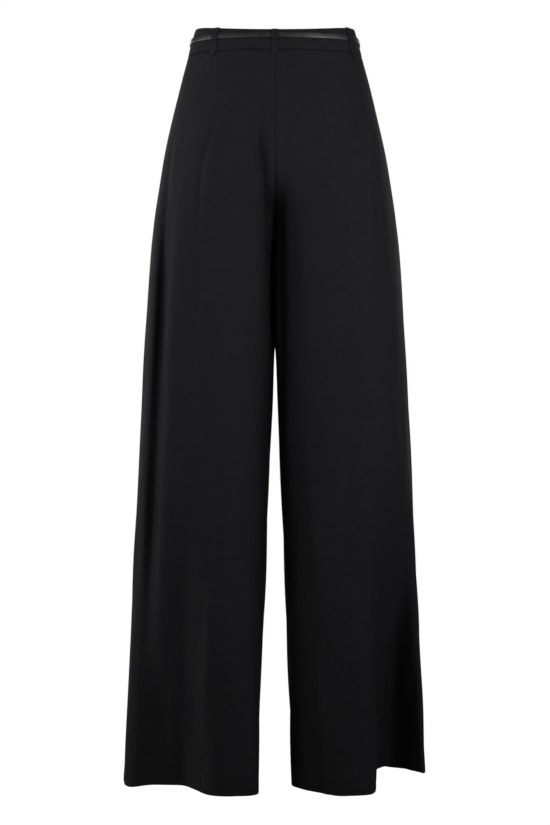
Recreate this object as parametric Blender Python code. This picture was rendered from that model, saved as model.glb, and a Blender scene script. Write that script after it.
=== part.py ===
"""Wide-leg trousers with a narrow belt, hollow and filled out as when worn.

Metres, +Z up. The front (fly) faces -Y, the back faces +Y, and the wearer's left is +X.
The origin is the middle of the waistband, on the line where the wearer's waist holds it.

Each leg is a tube of smooth sections. "Out" is how far a point lies from the centre line, towards
its own side, and "back" is how far back it lies. Folds then push the cloth about. A panel is a
grid of points on the cloth's outer face, and a second grid one cloth thickness inside it.
"""

import math

import bpy
import numpy as np

# Cloth and seams
CLOTH = 0.0016
BAND_CLOTH = 0.0024  # the waistband is doubled and interfaced
SEAM_GAP = 0.0003  # between neighbouring pieces

# Waistband, whose upper edge is higher at the sides than at the back
TOP_EDGE = 0.0184
SIDE_RISE = 0.0105
WAIST_SEAM = -0.0104
BAND_STANDS = 0.0004  # how far it stands outside the panels
BAND_UNDER_PLACES = (-0.026, -0.014, -0.002, 0.005, 0.011, 0.018)  # where its under end has points
BAND_UPPER_END = 0.006  # from the centre front, as those are
BAND_TUCKS_OVER = 0.010
BAND_SHOWS_FROM = 0.028
BAND_COLUMNS = 76

# Legs
CROTCH = -0.285
HEM = -1.0555
LEG_SPLIT = -0.4247  # below this the legs stand apart
LEGS_CLEAR = 0.0007  # from the centre line to a leg's inner side, where the legs touch
HEM_APART = 0.0264  # the same at the hem
INNER_CORNER = 2.5  # how square a section is towards the other leg: 2 is an ellipse
SIDE_SEAM_ANGLE = 93.0
WANDER = 0.004  # how far the touching inner sides wind about the centre line
WANDER_WAVE = 0.022
WANDER_REACH = 0.035
WANDER_STARTS_OVER = 0.030
WANDER_STOPS_OVER = 0.040

# Belt and loops
BELT_WIDTH = 0.0084
BELT_THICK = 0.0018
BELT_SKIVED = 0.0009  # thinned where it turns round the buckle's bar
BELT_HEIGHT = 0.0096  # the belt's middle at the back and front
BELT_SIDE_RISE = 0.0012
SEWN_END = 0.0165  # the thinned end is sewn down as far as this from the centre front
BELT_TIP = 0.066
BELT_NEAR_PLACES = (0.0095, 0.0125, SEWN_END, 0.0220, 0.0280, 0.0390)
BELT_COLUMNS = 74
BELT_PLAIN_TO = -0.030
BELT_LAP_PLACES = (-0.016, -0.009, -0.0045, 0.0, 0.0045, 0.0095, 0.015, 0.020, 0.028, 0.039, 0.050, BELT_TIP)
BELT_STEPS_DOWN = (0.003, 0.025)  # from the keeper: where the doubled belt ends, and where it lies flat
BELT_CLEARS_BAR = 0.0025
LOOP_WIDTH = 0.0092
LOOP_THICK = 0.0012
LOOP_SLACK = 0.0001  # over the belt
LOOP_BELOW_SEAM = 0.0068
LOOP_RUN = (("from", "above", "over the belt"), (
    ("waist seam", -LOOP_BELOW_SEAM, 0.0),
    ("waist seam", -0.0010, 0.0),
    ("belt's lower edge", -0.0028, 0.0),
    ("belt's lower edge", -0.0006, 1.0),
    ("belt's middle", 0.0, 1.0),
    ("belt's upper edge", 0.0006, 1.0),
    ("belt's upper edge", 0.0024, 0.18),
    ("top edge", 0.0, 0.0),
))  # fmt: skip

# Buckle at the centre front, and the keeper beside it
WIRE = 0.0011  # radius
TIP_BAR = -0.0115
HINGE_BAR = 0.0070
FRAME_HALF_HEIGHT = 0.0062
FRAME_CORNER = 0.0016
PRONG = 0.0007  # radius
PRONG_LONG = 0.0093
PRONG_PAST_BAR = 0.0013
PRONG_RISE = 0.0006
KEEPER = (0.0200, 0.0252)
KEEPER_THICK = 0.0008

# Strip that covers the front opening
FLY_EDGES = (0.0055, -0.0310)
FLY_LENGTH = 0.172
FLY_THICK = 0.0012
FLY_ROUNDING = 0.030

SECTION = ("height", "lobe", "outer", "inner_back", "inner_front", "back", "front", "corner")
SECTIONS = (
    # the inner columns say where a section would close if the other leg weren't there
    (0.0300, 0.000, 0.1146, -0.400, -0.400, 0.0766, -0.0812, 2.60),
    (0.0200, 0.000, 0.1174, -0.400, -0.400, 0.0773, -0.0820, 2.60),
    (0.0060, 0.000, 0.1214, -0.400, -0.400, 0.0783, -0.0832, 2.60),
    (-0.0110, 0.000, 0.1258, -0.400, -0.400, 0.0796, -0.0846, 2.60),
    (-0.0260, 0.000, 0.1301, -0.380, -0.380, 0.0830, -0.0875, 2.55),
    (-0.0500, 0.014, 0.1365, -0.330, -0.330, 0.0890, -0.0920, 2.50),
    (-0.1000, 0.034, 0.1486, -0.230, -0.250, 0.1000, -0.0990, 2.40),
    (-0.1560, 0.055, 0.1605, -0.115, -0.170, 0.1100, -0.1050, 2.35),
    (-0.2000, 0.070, 0.1677, -0.045, -0.105, 0.1150, -0.1080, 2.30),
    (-0.2430, 0.083, 0.1742, -0.004, -0.045, 0.1170, -0.1095, 2.30),
    (-0.2850, 0.092, 0.1788, 0.000, 0.000, 0.1175, -0.1105, 2.30),
    (-0.3520, 0.094, 0.1838, 0.000, 0.000, 0.1170, -0.1110, 2.30),
    (-0.4247, 0.096, 0.1882, 0.000, 0.000, 0.1160, -0.1120, 2.30),
    (-0.5910, 0.100, 0.1965, 0.000, 0.000, 0.1140, -0.1140, 2.30),
    (-0.7650, 0.106, 0.2051, 0.000, 0.000, 0.1120, -0.1170, 2.30),
    (-0.9390, 0.114, 0.2130, 0.000, 0.000, 0.1110, -0.1200, 2.30),
    (-1.0800, 0.120, 0.2196, 0.000, 0.000, 0.1105, -0.1220, 2.30),
)

NEVER = -9.0  # below the hem
FOLD = (
    "leg", "face", "begins", "full", "fades", "ends", "out_at_top", "out_at_bottom",
    "width_in", "width_out", "shape", "push_out", "push_back", "push_up",
)  # fmt: skip
FOLDS = (
    # long groove down the left leg, just behind its side, and the sharp ridge beside it
    ("left", "back", -0.110, -0.400, -0.640, -0.960, 0.143, 0.184, 0.013, 0.016, 2.0, -0.004, -0.020, 0.000),
    ("left", "back", -0.110, -0.400, -0.640, -0.960, 0.128, 0.166, 0.016, 0.010, 2.0, 0.006, 0.004, 0.000),
    # hollow on the left side of the seat, beside the centre back seam
    ("left", "back", -0.085, -0.165, -0.240, -0.340, 0.024, 0.018, 0.012, 0.009, 2.0, 0.000, -0.006, 0.000),
    # the left leg's outer back goes forward towards the hem, and its inner back squares up
    ("left", "back", -0.640, HEM, NEVER, NEVER, 0.135, 0.142, 0.032, 0.066, 3.0, 0.000, -0.050, 0.004),
    ("left", "back", -0.600, HEM, NEVER, NEVER, 0.045, 0.053, 0.034, 0.040, 2.2, -0.023, 0.012, -0.002),
    # the deep fold behind the right leg's side, and its raised hem
    ("right", "back", -0.560, HEM, NEVER, NEVER, 0.165, 0.188, 0.038, 0.050, 3.0, -0.034, -0.100, 0.004),
    ("right", "back", -0.560, HEM, NEVER, NEVER, 0.190, 0.207, 0.060, 0.110, 3.0, 0.000, -0.012, 0.011),
    # the right leg's inner back squares up
    ("right", "back", -0.640, HEM, NEVER, NEVER, 0.034, 0.036, 0.030, 0.030, 2.0, -0.010, 0.004, 0.004),
    # plain folds in front
    ("left", "front", -0.330, -0.850, NEVER, NEVER, 0.140, 0.158, 0.030, 0.036, 2.0, 0.000, 0.022, 0.003),
    ("left", "front", -0.560, HEM, NEVER, NEVER, 0.060, 0.066, 0.026, 0.022, 2.0, 0.000, 0.014, 0.002),
    ("right", "front", -0.400, -0.900, NEVER, NEVER, 0.085, 0.078, 0.028, 0.034, 2.0, 0.000, 0.024, 0.003),
    ("right", "front", -0.520, HEM, NEVER, NEVER, 0.160, 0.172, 0.024, 0.026, 2.0, 0.000, 0.014, 0.002),
)

# Rows of the panels, close together where the legs part
PANEL_ROWS = (("from", "to", "rows"), (
    (WAIST_SEAM - SEAM_GAP, -0.200, 8),
    (-0.200, -0.255, 3),
    (-0.255, CROTCH + 0.002, 4),
    (CROTCH + 0.002, CROTCH - 0.015, 2),
    (CROTCH - 0.015, -0.360, 2),
    (-0.360, HEM, 17),
))  # fmt: skip
BACK_COLUMNS = 24
FRONT_COLUMNS = 16
BEND_WEIGHT = 0.03  # how strongly columns gather where the cloth bends
BEND_LIMIT = 120.0
BEND_SPREAD = 41

LOOP = ("name", "across", "face")
LOOPS = (
    ("belt_loop_back_left", 0.0858, "back"),
    ("belt_loop_back_centre", 0.0003, "back"),
    ("belt_loop_back_right", -0.1087, "back"),
    ("belt_loop_front_left", 0.0780, "front"),
    ("belt_loop_front_right", -0.0780, "front"),
)

MATERIAL = ("name", "colour", "roughness", "metallic")
MATERIALS = (
    ("black_crepe", (0.012, 0.012, 0.014, 1.0), 0.75, 0.0),
    ("belt_leather", (0.030, 0.028, 0.026, 1.0), 0.40, 0.0),
    ("buckle_metal", (0.060, 0.060, 0.062, 1.0), 0.30, 1.0),
)


# ---- the shape of the cloth ----


def table_column(name):
    """One column of the section table as (heights, values), from the lowest height up."""
    at = SECTION.index(name)
    rows = sorted((row[0], row[at]) for row in SECTIONS)
    return np.array([row[0] for row in rows]), np.array([row[1] for row in rows])


def smooth_through(x, knots, values):
    """A smooth curve through the knots that never overshoots them."""
    slope = np.diff(values) / np.diff(knots)
    tangent = np.zeros(len(values))
    same = slope[1:] * slope[:-1] > 0
    tangent[1:-1][same] = 2 * slope[1:][same] * slope[:-1][same] / (slope[1:] + slope[:-1])[same]
    tangent[0], tangent[-1] = slope[0], slope[-1]
    x = np.clip(x, knots[0], knots[-1])
    i = np.clip(np.searchsorted(knots, x, side="right") - 1, 0, len(knots) - 2)
    step = knots[i + 1] - knots[i]
    t = (x - knots[i]) / step
    return (
        (2 * t**3 - 3 * t**2 + 1) * values[i]
        + (t**3 - 2 * t**2 + t) * step * tangent[i]
        + (3 * t**2 - 2 * t**3) * values[i + 1]
        + (t**3 - t**2) * step * tangent[i + 1]
    )


def section_value(name, height):
    return smooth_through(height, *table_column(name))


def ease(x):
    """0 up to 0, 1 from 1 on, and smooth between."""
    x = np.clip(x, 0, 1)
    return x * x * (3 - 2 * x)


def inner_side(height, column):
    """Where a leg's inner side lies: beyond the centre line above the crotch, on its own side below."""
    share = np.clip((LEG_SPLIT - height) / (LEG_SPLIT - HEM), 0, None)
    leg = LEGS_CLEAR + share * (HEM_APART - LEGS_CLEAR)
    return np.where(height > CROTCH, np.minimum(section_value(column, height), LEGS_CLEAR), leg)


def section_point(angle, height):
    """(out, back) on a section. Angle 0 is straight back, 90 the side, 180 front, 270 the inside."""
    lobe = section_value("lobe", height)
    sine, cosine = np.sin(angle), np.cos(angle)
    inner = np.where(cosine > 0, inner_side(height, "inner_back"), inner_side(height, "inner_front"))
    half_width = np.where(sine > 0, section_value("outer", height) - lobe, lobe - inner)
    depth = np.where(cosine > 0, section_value("back", height), -section_value("front", height))
    power = 2 / np.where(sine > 0, section_value("corner", height), INNER_CORNER)
    out = lobe + half_width * np.sign(sine) * np.abs(sine) ** power
    return out, depth * np.sign(cosine) * np.abs(cosine) ** power


def folded(leg, angles, heights):
    """The cloth's outer face as an array [height, angle] of (out, back, up)."""
    angle, height = np.meshgrid(angles, heights)
    out, back = section_point(angle, height)
    walked = np.cumsum(np.hypot(np.diff(out, axis=1), np.diff(back, axis=1)), axis=1)
    walked = np.pad(walked, ((0, 0), (1, 0)))
    moved = np.zeros(angle.shape + (3,))
    for row in FOLDS:
        fold = dict(zip(FOLD, row))
        if fold["leg"] != leg:
            continue
        strength = ease((fold["begins"] - heights) / (fold["begins"] - fold["full"]))
        if fold["ends"] > HEM:
            strength = strength * ease((heights - fold["ends"]) / (fold["fades"] - fold["ends"]))
        share = (fold["begins"] - heights) / (fold["begins"] - max(fold["ends"], HEM))
        place = fold["out_at_top"] + share * (fold["out_at_bottom"] - fold["out_at_top"])
        at_back = fold["face"] == "back"
        on_face = angles <= math.pi / 2 if at_back else angles >= math.pi / 2
        way = 1 if at_back else -1
        for k in range(len(heights)):
            line, distance = out[k, on_face][::way], walked[k, on_face][::way]
            around = walked[k, -1]
            away = (walked[k] - np.interp(place[k], line, distance)) * way
            away = (away + around / 2) % around - around / 2
            width = np.where(away < 0, fold["width_in"], fold["width_out"])
            bump = strength[k] * np.exp(-(np.abs(away / width) ** fold["shape"]))
            moved[k] += bump[:, None] * [fold["push_out"], fold["push_back"], fold["push_up"]]
    return np.stack([out, back, height], axis=2) + moved


def wander(points):
    """How far the touching inner sides wind sideways together, so that no light passes between them."""
    near = np.exp(-((points[..., 0] / WANDER_REACH) ** 2))
    begins = ease((CROTCH - points[..., 2]) / WANDER_STARTS_OVER / 2 + 0.5)
    ends = ease((points[..., 2] - LEG_SPLIT) / WANDER_STOPS_OVER / 2 + 0.5)
    return WANDER * near * begins * ends * np.sin(points[..., 1] / WANDER_WAVE)


# ---- panels ----

ALL_ROUND = np.radians(np.linspace(-90, 270, 1441))
AT_SIDE = np.searchsorted(ALL_ROUND, math.radians(SIDE_SEAM_ANGLE))


def cut_row(row, out):
    """One row's points for the back and front panel, from the dense points all round the leg."""
    step = np.linalg.norm(np.diff(row, axis=0), axis=1)
    walked = np.concatenate([[0], np.cumsum(step)])
    gap = SEAM_GAP / 2
    start, end = gap, walked[-1] - gap
    if out[0] < gap:
        third = len(row) // 3
        start = np.interp(gap, out[:third], walked[:third])
        end = np.interp(gap, out[::-1][:third], walked[::-1][:third])
    bend = np.linalg.norm(row[2:] - 2 * row[1:-1] + row[:-2], axis=1) / step[:-1] / step[1:]
    bend = np.clip(np.pad(bend, 1, mode="edge"), 0, BEND_LIMIT)
    bend = np.convolve(bend, np.ones(BEND_SPREAD) / BEND_SPREAD, "same")
    weight = np.concatenate([[0], np.cumsum(step * (1 + BEND_WEIGHT * bend[1:]))])
    seam = walked[AT_SIDE]
    halves = []
    for first, last, columns in ((start, seam - gap, BACK_COLUMNS), (seam + gap, end, FRONT_COLUMNS)):
        evenly = np.linspace(*np.interp([first, last], walked, weight), columns + 1)
        places = np.interp(evenly, weight, walked)
        places[0], places[-1] = first, last
        halves.append(np.stack([np.interp(places, walked, row[:, k]) for k in range(3)], axis=1))
    return halves


def outward_normals(grid, heights, side):
    """Unit normals of the rows' points. Rows below the crotch close on themselves."""
    along = np.gradient(grid, axis=1)
    closed = heights <= CROTCH
    along[closed, 0] = along[closed, -1] = grid[closed, 1] - grid[closed, -2]
    normal = np.cross(along, np.gradient(grid, axis=0)) * side
    normal /= np.linalg.norm(normal, axis=2, keepdims=True)
    for edge in (0, -1):
        across = np.minimum(0, side * normal[~closed, edge, 0])
        normal[~closed, edge, 0] = side * across
    return normal


def leg_panels(leg, heights):
    """The outer face and the normals of a leg's back and front panel."""
    side = 1 if leg == "left" else -1
    rings = folded(leg, ALL_ROUND, heights)
    outs = rings[..., 0].copy()
    rings[..., 0] *= side
    rings[..., 0] += wander(rings)
    rows = [cut_row(ring, out) for ring, out in zip(rings, outs)]
    back = np.array([row[0] for row in rows])
    front = np.array([row[1] for row in rows])
    seam = (back[:, -1:] + front[:, :1]) / 2
    whole = np.concatenate([back[:, :-1], seam, front[:, 1:]], axis=1)
    normals = outward_normals(whole, heights, side)
    return {
        "back": (back, normals[:, : BACK_COLUMNS + 1]),
        "front": (front, normals[:, BACK_COLUMNS:]),
    }


def row_heights():
    rows = [PANEL_ROWS[1][0][0]]
    for top, bottom, count in PANEL_ROWS[1]:
        rows += [top + (bottom - top) * (k + 1) / count for k in range(count)]
    return np.array(rows)


def make_legs():
    heights = row_heights()
    for leg in ("left", "right"):
        for face, (points, normals) in leg_panels(leg, heights).items():
            mesh = wall_mesh(points, points - CLOTH * normals, mirrored=leg == "right")
            add_object(f"{face}_{leg}", mesh, "black_crepe")


# ---- the waist's face, which the band, belt, loops and buckle follow ----

WAIST_ANGLE = np.radians(np.linspace(180, -180, 2881))


def ring_point(angle, height):
    """A point of the waist's outer face. The angle is negative on the wearer's right."""
    out, back = section_point(np.abs(angle), np.broadcast_to(height, np.shape(angle)))
    return np.stack([np.sign(angle) * np.maximum(out, 0), back], axis=-1)


WAIST_RING = ring_point(WAIST_ANGLE, 0.0)
WAIST_STEP = np.linalg.norm(np.diff(WAIST_RING, axis=0), axis=1)
WAIST_WALKED = np.concatenate([[0], np.cumsum(WAIST_STEP)])
WAIST_ROUND = WAIST_WALKED[-1]


def angle_at(along):
    """Along is walked at the origin's height, from the centre front by the wearer's left."""
    return np.interp(along % WAIST_ROUND, WAIST_WALKED, WAIST_ANGLE)


def waist_face(along, height):
    flat = ring_point(angle_at(along), height)
    return np.concatenate([flat, np.broadcast_to(height, flat.shape[:-1])[..., None]], axis=-1)


def off_waist(along, height, off):
    """A point of the waist's face moved straight out from it."""
    step = 0.002
    along, height = np.broadcast_arrays(along, height)
    level = waist_face(along + step, height) - waist_face(along - step, height)
    rise = waist_face(along, height + step) - waist_face(along, height - step)
    normal = np.cross(level, rise)
    normal /= np.linalg.norm(normal, axis=-1, keepdims=True)
    return waist_face(along, height) + normal * np.broadcast_to(off, along.shape)[..., None]


def place_of(across, face):
    """How far along the waist a point lies, from how far across it is and on which face."""
    there = (WAIST_RING[:, 1] > 0) == (face == "back")
    there &= (WAIST_RING[:, 0] >= 0) == (across >= 0)
    order = np.argsort(WAIST_RING[there, 0])
    return float(np.interp(across, WAIST_RING[there, 0][order], WAIST_WALKED[there][order]))


def top_edge(along):
    return TOP_EDGE + SIDE_RISE * np.sin(angle_at(along)) ** 2


def belt_middle(along):
    return BELT_HEIGHT + BELT_SIDE_RISE * np.sin(angle_at(along)) ** 2


def make_waistband():
    """One strip round the waist, whose under end is tucked behind its upper end in front."""
    plain = np.linspace(BAND_SHOWS_FROM, WAIST_ROUND + BAND_UPPER_END, BAND_COLUMNS)
    along = np.concatenate([BAND_UNDER_PLACES, plain])
    behind = 1 - ease((along - BAND_UPPER_END) / BAND_TUCKS_OVER)
    off = BAND_STANDS - (BAND_CLOTH + SEAM_GAP) * behind
    bottom = WAIST_SEAM + SEAM_GAP / 2
    height = bottom + np.linspace(0, 1, 6)[:, None] * (top_edge(along) - bottom)
    mesh = wall_mesh(off_waist(along, height, off), off_waist(along, height, off - BAND_CLOTH))
    add_object("waistband", mesh, "black_crepe")


# How far the belt's middle and the buckle's bars lie off the band
PLAIN_OFF = SEAM_GAP + BELT_THICK / 2
SEWN_OFF = SEAM_GAP + BELT_SKIVED / 2
HINGE_OFF = 2 * SEAM_GAP + BELT_SKIVED + WIRE
TIP_OFF = 2 * SEAM_GAP + BELT_THICK + WIRE
OVER_SEWN_OFF = 2 * SEAM_GAP + BELT_SKIVED + BELT_THICK / 2
BELT_TURN = WIRE + SEAM_GAP + BELT_SKIVED / 2  # radius of the belt's middle round the hinge's bar
OVER_HINGE_OFF = HINGE_OFF + BELT_TURN + (BELT_SKIVED + BELT_THICK) / 2 + SEAM_GAP
LAP_OFF = BELT_THICK + SEAM_GAP  # the free end lies this much outside the belt under it


def belt_path():
    """The belt's middle line as rows of (along, off the band, thickness)."""
    path = [(along, SEWN_OFF, BELT_SKIVED) for along in (SEWN_END, (SEWN_END + HINGE_BAR) / 2)]
    for turn in np.radians([-90, -135, -180, -225, -270]):
        along, off = HINGE_BAR + BELT_TURN * math.cos(turn), HINGE_OFF + BELT_TURN * math.sin(turn)
        path.append((along, off, BELT_SKIVED))
    down = np.array([HINGE_BAR, SEWN_END, *(KEEPER[1] + np.array(BELT_STEPS_DOWN))])
    over = np.array([HINGE_OFF + BELT_TURN, OVER_SEWN_OFF, OVER_SEWN_OFF, PLAIN_OFF])
    for along in (*BELT_NEAR_PLACES, down[-1]):
        share = ease((along - HINGE_BAR) / (SEWN_END - HINGE_BAR))
        thick = BELT_SKIVED + share * (BELT_THICK - BELT_SKIVED)
        path.append((along, smooth_through(along, down, over), thick))
    over_bar = (HINGE_BAR - BELT_CLEARS_BAR, HINGE_BAR + BELT_CLEARS_BAR)
    free = np.array([TIP_BAR + BELT_CLEARS_BAR, *over_bar, *down[1:]])
    lapped = np.array([PLAIN_OFF, OVER_HINGE_OFF, OVER_HINGE_OFF, *(over[1:] + LAP_OFF)])
    for along in np.linspace(down[-1], WAIST_ROUND + BELT_PLAIN_TO, BELT_COLUMNS)[1:]:
        path.append((along, PLAIN_OFF, BELT_THICK))
    for along in BELT_LAP_PLACES:
        path.append((WAIST_ROUND + along, smooth_through(along, free, lapped), BELT_THICK))
    return np.array([[float(value) for value in row] for row in path])


def make_belt():
    along, off, thick = belt_path().T
    run, rise = np.gradient(along), np.gradient(off)
    length = np.hypot(run, rise)
    faces = []
    for half in (thick / 2, -thick / 2):
        place = along - half * rise / length
        height = belt_middle(place) + np.array([-0.5, 0.0, 0.5])[:, None] * BELT_WIDTH
        faces.append(off_waist(place, height, off + half * run / length + BAND_STANDS))
    add_object("belt_strap", wall_mesh(*faces), "belt_leather")


def make_loops():
    """Each loop starts at the band's upper edge, passes over the belt and ends below the waist seam."""
    for row in LOOPS:
        loop = dict(zip(LOOP, row))
        middle = place_of(loop["across"], loop["face"])
        belt = float(belt_middle(middle))
        starts = {
            "waist seam": WAIST_SEAM,
            "belt's lower edge": belt - BELT_WIDTH / 2,
            "belt's middle": belt,
            "belt's upper edge": belt + BELT_WIDTH / 2,
            "top edge": float(top_edge(middle)),
        }
        low, high = BAND_STANDS + SEAM_GAP, BAND_STANDS + BELT_THICK + 2 * SEAM_GAP + LOOP_SLACK
        height = np.array([[starts[start] + above] for start, above, _ in LOOP_RUN[1]])
        off = np.array([[low + over * (high - low)] for _, _, over in LOOP_RUN[1]])
        along = middle + np.array([-0.5, 0.0, 0.5]) * LOOP_WIDTH
        outer = off_waist(along, height, off + LOOP_THICK)
        mesh = wall_mesh(outer, off_waist(along, height, off))
        add_object(loop["name"], mesh, "black_crepe")


# ---- front opening and buckle ----


def front_face(across, height):
    """Points of the front panels' outer face, from how far across and how high they lie."""
    front = ALL_ROUND >= math.pi / 2
    points = np.stack([across, np.zeros(across.shape), height], axis=2)
    for point in points.reshape(-1, 3):
        leg = "left" if point[0] >= 0 else "right"
        ring = folded(leg, ALL_ROUND[front], point[2:])[0][::-1]
        point[1] = np.interp(abs(point[0]), ring[:, 0], ring[:, 1])
    return points


def make_fly():
    """The strip that covers the front opening, sewn along one side, with its lower corner cut round."""
    share = np.linspace(0, 1, 8)
    across = np.tile(FLY_EDGES[0] + share * (FLY_EDGES[1] - FLY_EDGES[0]), (12, 1))
    rounding = FLY_ROUNDING * (1 - np.sqrt(1 - share**2))
    height = WAIST_SEAM - 2 * SEAM_GAP - np.linspace(0, 1, 12)[:, None] * (FLY_LENGTH - rounding)
    face = front_face(across, height)
    normal = np.cross(np.gradient(face, axis=1), np.gradient(face, axis=0))
    normal /= np.linalg.norm(normal, axis=2, keepdims=True)
    under = face + normal * SEAM_GAP
    add_object("fly_placket", wall_mesh(under + normal * FLY_THICK, under), "black_crepe")


def bar_mesh(middle, across, radius, sides, closed):
    """A round bar along points given as (along, height, off the band), laid on to the waist."""
    count = len(middle)
    turn = np.linspace(0, 2 * math.pi, sides, endpoint=False)[:, None]
    rings = []
    for k in range(count):
        after, before = ((k + 1) % count, k - 1) if closed else (min(k + 1, count - 1), max(k - 1, 0))
        tangent = middle[after] - middle[before]
        first = np.cross(tangent, across)
        first /= np.linalg.norm(first)
        second = np.cross(tangent, first) / np.linalg.norm(tangent)
        rings.append(middle[k] + radius * (np.cos(turn) * first + np.sin(turn) * second))
    points = np.concatenate(rings)
    faces = []
    for k in range(count if closed else count - 1):
        for j in range(sides):
            here, there, n = k * sides, (k + 1) % count * sides, (j + 1) % sides
            faces.append((here + j, here + n, there + n, there + j))
    if not closed:
        faces.append(tuple(reversed(range(sides))))
        faces.append(tuple(range((count - 1) * sides, count * sides)))
    return new_mesh(off_waist(points[:, 0], points[:, 1], points[:, 2] + BAND_STANDS), faces)


def make_buckle():
    corners = (
        (TIP_BAR + FRAME_CORNER, FRAME_HALF_HEIGHT - FRAME_CORNER, 90),
        (TIP_BAR + FRAME_CORNER, FRAME_CORNER - FRAME_HALF_HEIGHT, 180),
        (HINGE_BAR - FRAME_CORNER, FRAME_CORNER - FRAME_HALF_HEIGHT, 270),
        (HINGE_BAR - FRAME_CORNER, FRAME_HALF_HEIGHT - FRAME_CORNER, 0),
    )
    frame = []
    for along, height, start in corners:
        for turn in np.radians(start + np.linspace(0, 90, 5)):
            place = along + FRAME_CORNER * math.cos(turn)
            share = (place - TIP_BAR) / (HINGE_BAR - TIP_BAR)
            off = TIP_OFF + share * (HINGE_OFF - TIP_OFF)
            frame.append((place, BELT_HEIGHT + height + FRAME_CORNER * math.sin(turn), off))
    mesh = bar_mesh(np.array(frame), np.array([0.0, 0.0, 1.0]), WIRE, 10, closed=True)
    add_object("buckle_frame", mesh, "buckle_metal")

    over_tip = TIP_OFF + WIRE + SEAM_GAP + PRONG
    tip = TIP_BAR - PRONG_PAST_BAR
    hole = tip + PRONG_LONG
    prong = [(hole, over_tip + PRONG_RISE), ((hole + TIP_BAR) / 2, over_tip), (tip, over_tip)]
    prong = np.array([(along, BELT_HEIGHT, off) for along, off in prong])
    mesh = bar_mesh(prong, np.array([0.0, 1.0, 0.0]), PRONG, 8, closed=False)
    add_object("buckle_prong", mesh, "buckle_metal")


def make_keeper():
    """The small leather ring round the belt and its free end."""
    half = BELT_WIDTH / 2 + SEAM_GAP
    near = OVER_SEWN_OFF - BELT_THICK / 2 - SEAM_GAP
    far = OVER_SEWN_OFF + LAP_OFF + BELT_THICK / 2 + SEAM_GAP
    along = np.linspace(*KEEPER, 3)
    faces = []
    for thick in (KEEPER_THICK, 0):
        corners = ((half + thick, far + thick), (-half - thick, far + thick))
        corners += ((-half - thick, near - thick), (half + thick, near - thick))
        height = BELT_HEIGHT + np.array([corner[0] for corner in corners])[:, None]
        off = BAND_STANDS + np.array([corner[1] for corner in corners])[:, None]
        faces.append(off_waist(along, height, off))
    add_object("belt_keeper", ring_mesh(*faces), "belt_leather")


# ---- meshes and objects ----


def new_mesh(points, faces):
    mesh = bpy.data.meshes.new("mesh")
    mesh.from_pydata(points.tolist(), [], faces)
    mesh.validate()
    return mesh


def wall_mesh(outer, inner, mirrored=False):
    """A closed wall between two grids of points. Seen from outside, rows go down and columns left."""
    rows, columns = outer.shape[:2]
    size = rows * columns
    last = (rows - 1) * columns
    faces = []
    for i in range(rows - 1):
        for j in range(columns - 1):
            a = i * columns + j
            faces.append((a, a + 1, a + columns + 1, a + columns))
            faces.append((size + a, size + a + columns, size + a + columns + 1, size + a + 1))
    rim = [(j + 1, j) for j in range(columns - 1)]
    rim += [(last + j, last + j + 1) for j in range(columns - 1)]
    rim += [((i + 2) * columns - 1, (i + 1) * columns - 1) for i in range(rows - 1)]
    rim += [(i * columns, (i + 1) * columns) for i in range(rows - 1)]
    faces += [(a, b, size + b, size + a) for a, b in rim]
    if mirrored:
        faces = [face[::-1] for face in faces]
    return new_mesh(np.concatenate([outer.reshape(-1, 3), inner.reshape(-1, 3)]), faces)


def ring_mesh(outer, inner):
    """A closed ring between two grids whose rows go once round it."""
    rows, columns = outer.shape[:2]
    size = rows * columns
    faces = []
    for i in range(rows):
        here, there = i * columns, (i + 1) % rows * columns
        for j in range(columns - 1):
            a, b = here + j, there + j
            faces.append((a, b, b + 1, a + 1))
            faces.append((size + a, size + a + 1, size + b + 1, size + b))
        faces.append((here, size + here, size + there, there))
        a, b = here + columns - 1, there + columns - 1
        faces.append((a, b, size + b, size + a))
    return new_mesh(np.concatenate([outer.reshape(-1, 3), inner.reshape(-1, 3)]), faces)


def add_object(name, mesh, material):
    mesh.name = name
    mesh.materials.append(bpy.data.materials[material])
    mesh.shade_smooth()
    mesh.set_sharp_from_angle(angle=math.radians(40))
    bpy.context.scene.collection.objects.link(bpy.data.objects.new(name, mesh))


def make_materials():
    for row in MATERIALS:
        finish = dict(zip(MATERIAL, row))
        material = bpy.data.materials.new(finish["name"])
        material.use_nodes = True
        shader = material.node_tree.nodes["Principled BSDF"]
        shader.inputs["Base Color"].default_value = finish["colour"]
        shader.inputs["Roughness"].default_value = finish["roughness"]
        shader.inputs["Metallic"].default_value = finish["metallic"]


for old in list(bpy.data.objects):
    bpy.data.objects.remove(old)
make_materials()
make_legs()
make_waistband()
make_belt()
make_loops()
make_fly()
make_buckle()
make_keeper()
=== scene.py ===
import math

import bpy
import numpy as np
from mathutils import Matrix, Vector


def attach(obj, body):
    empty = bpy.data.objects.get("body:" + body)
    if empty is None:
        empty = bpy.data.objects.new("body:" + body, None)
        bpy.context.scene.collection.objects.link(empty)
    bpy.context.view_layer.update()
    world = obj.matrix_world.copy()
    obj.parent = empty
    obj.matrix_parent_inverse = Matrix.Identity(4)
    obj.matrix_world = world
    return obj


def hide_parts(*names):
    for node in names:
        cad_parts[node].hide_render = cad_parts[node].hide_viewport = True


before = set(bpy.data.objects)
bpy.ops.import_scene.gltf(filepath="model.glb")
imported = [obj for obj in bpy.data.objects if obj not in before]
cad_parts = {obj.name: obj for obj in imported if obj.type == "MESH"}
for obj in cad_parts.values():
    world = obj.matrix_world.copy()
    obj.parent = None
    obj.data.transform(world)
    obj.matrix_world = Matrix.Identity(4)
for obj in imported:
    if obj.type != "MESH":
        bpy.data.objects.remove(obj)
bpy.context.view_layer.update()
print("frame loaded with", len(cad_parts), "solids")

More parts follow.
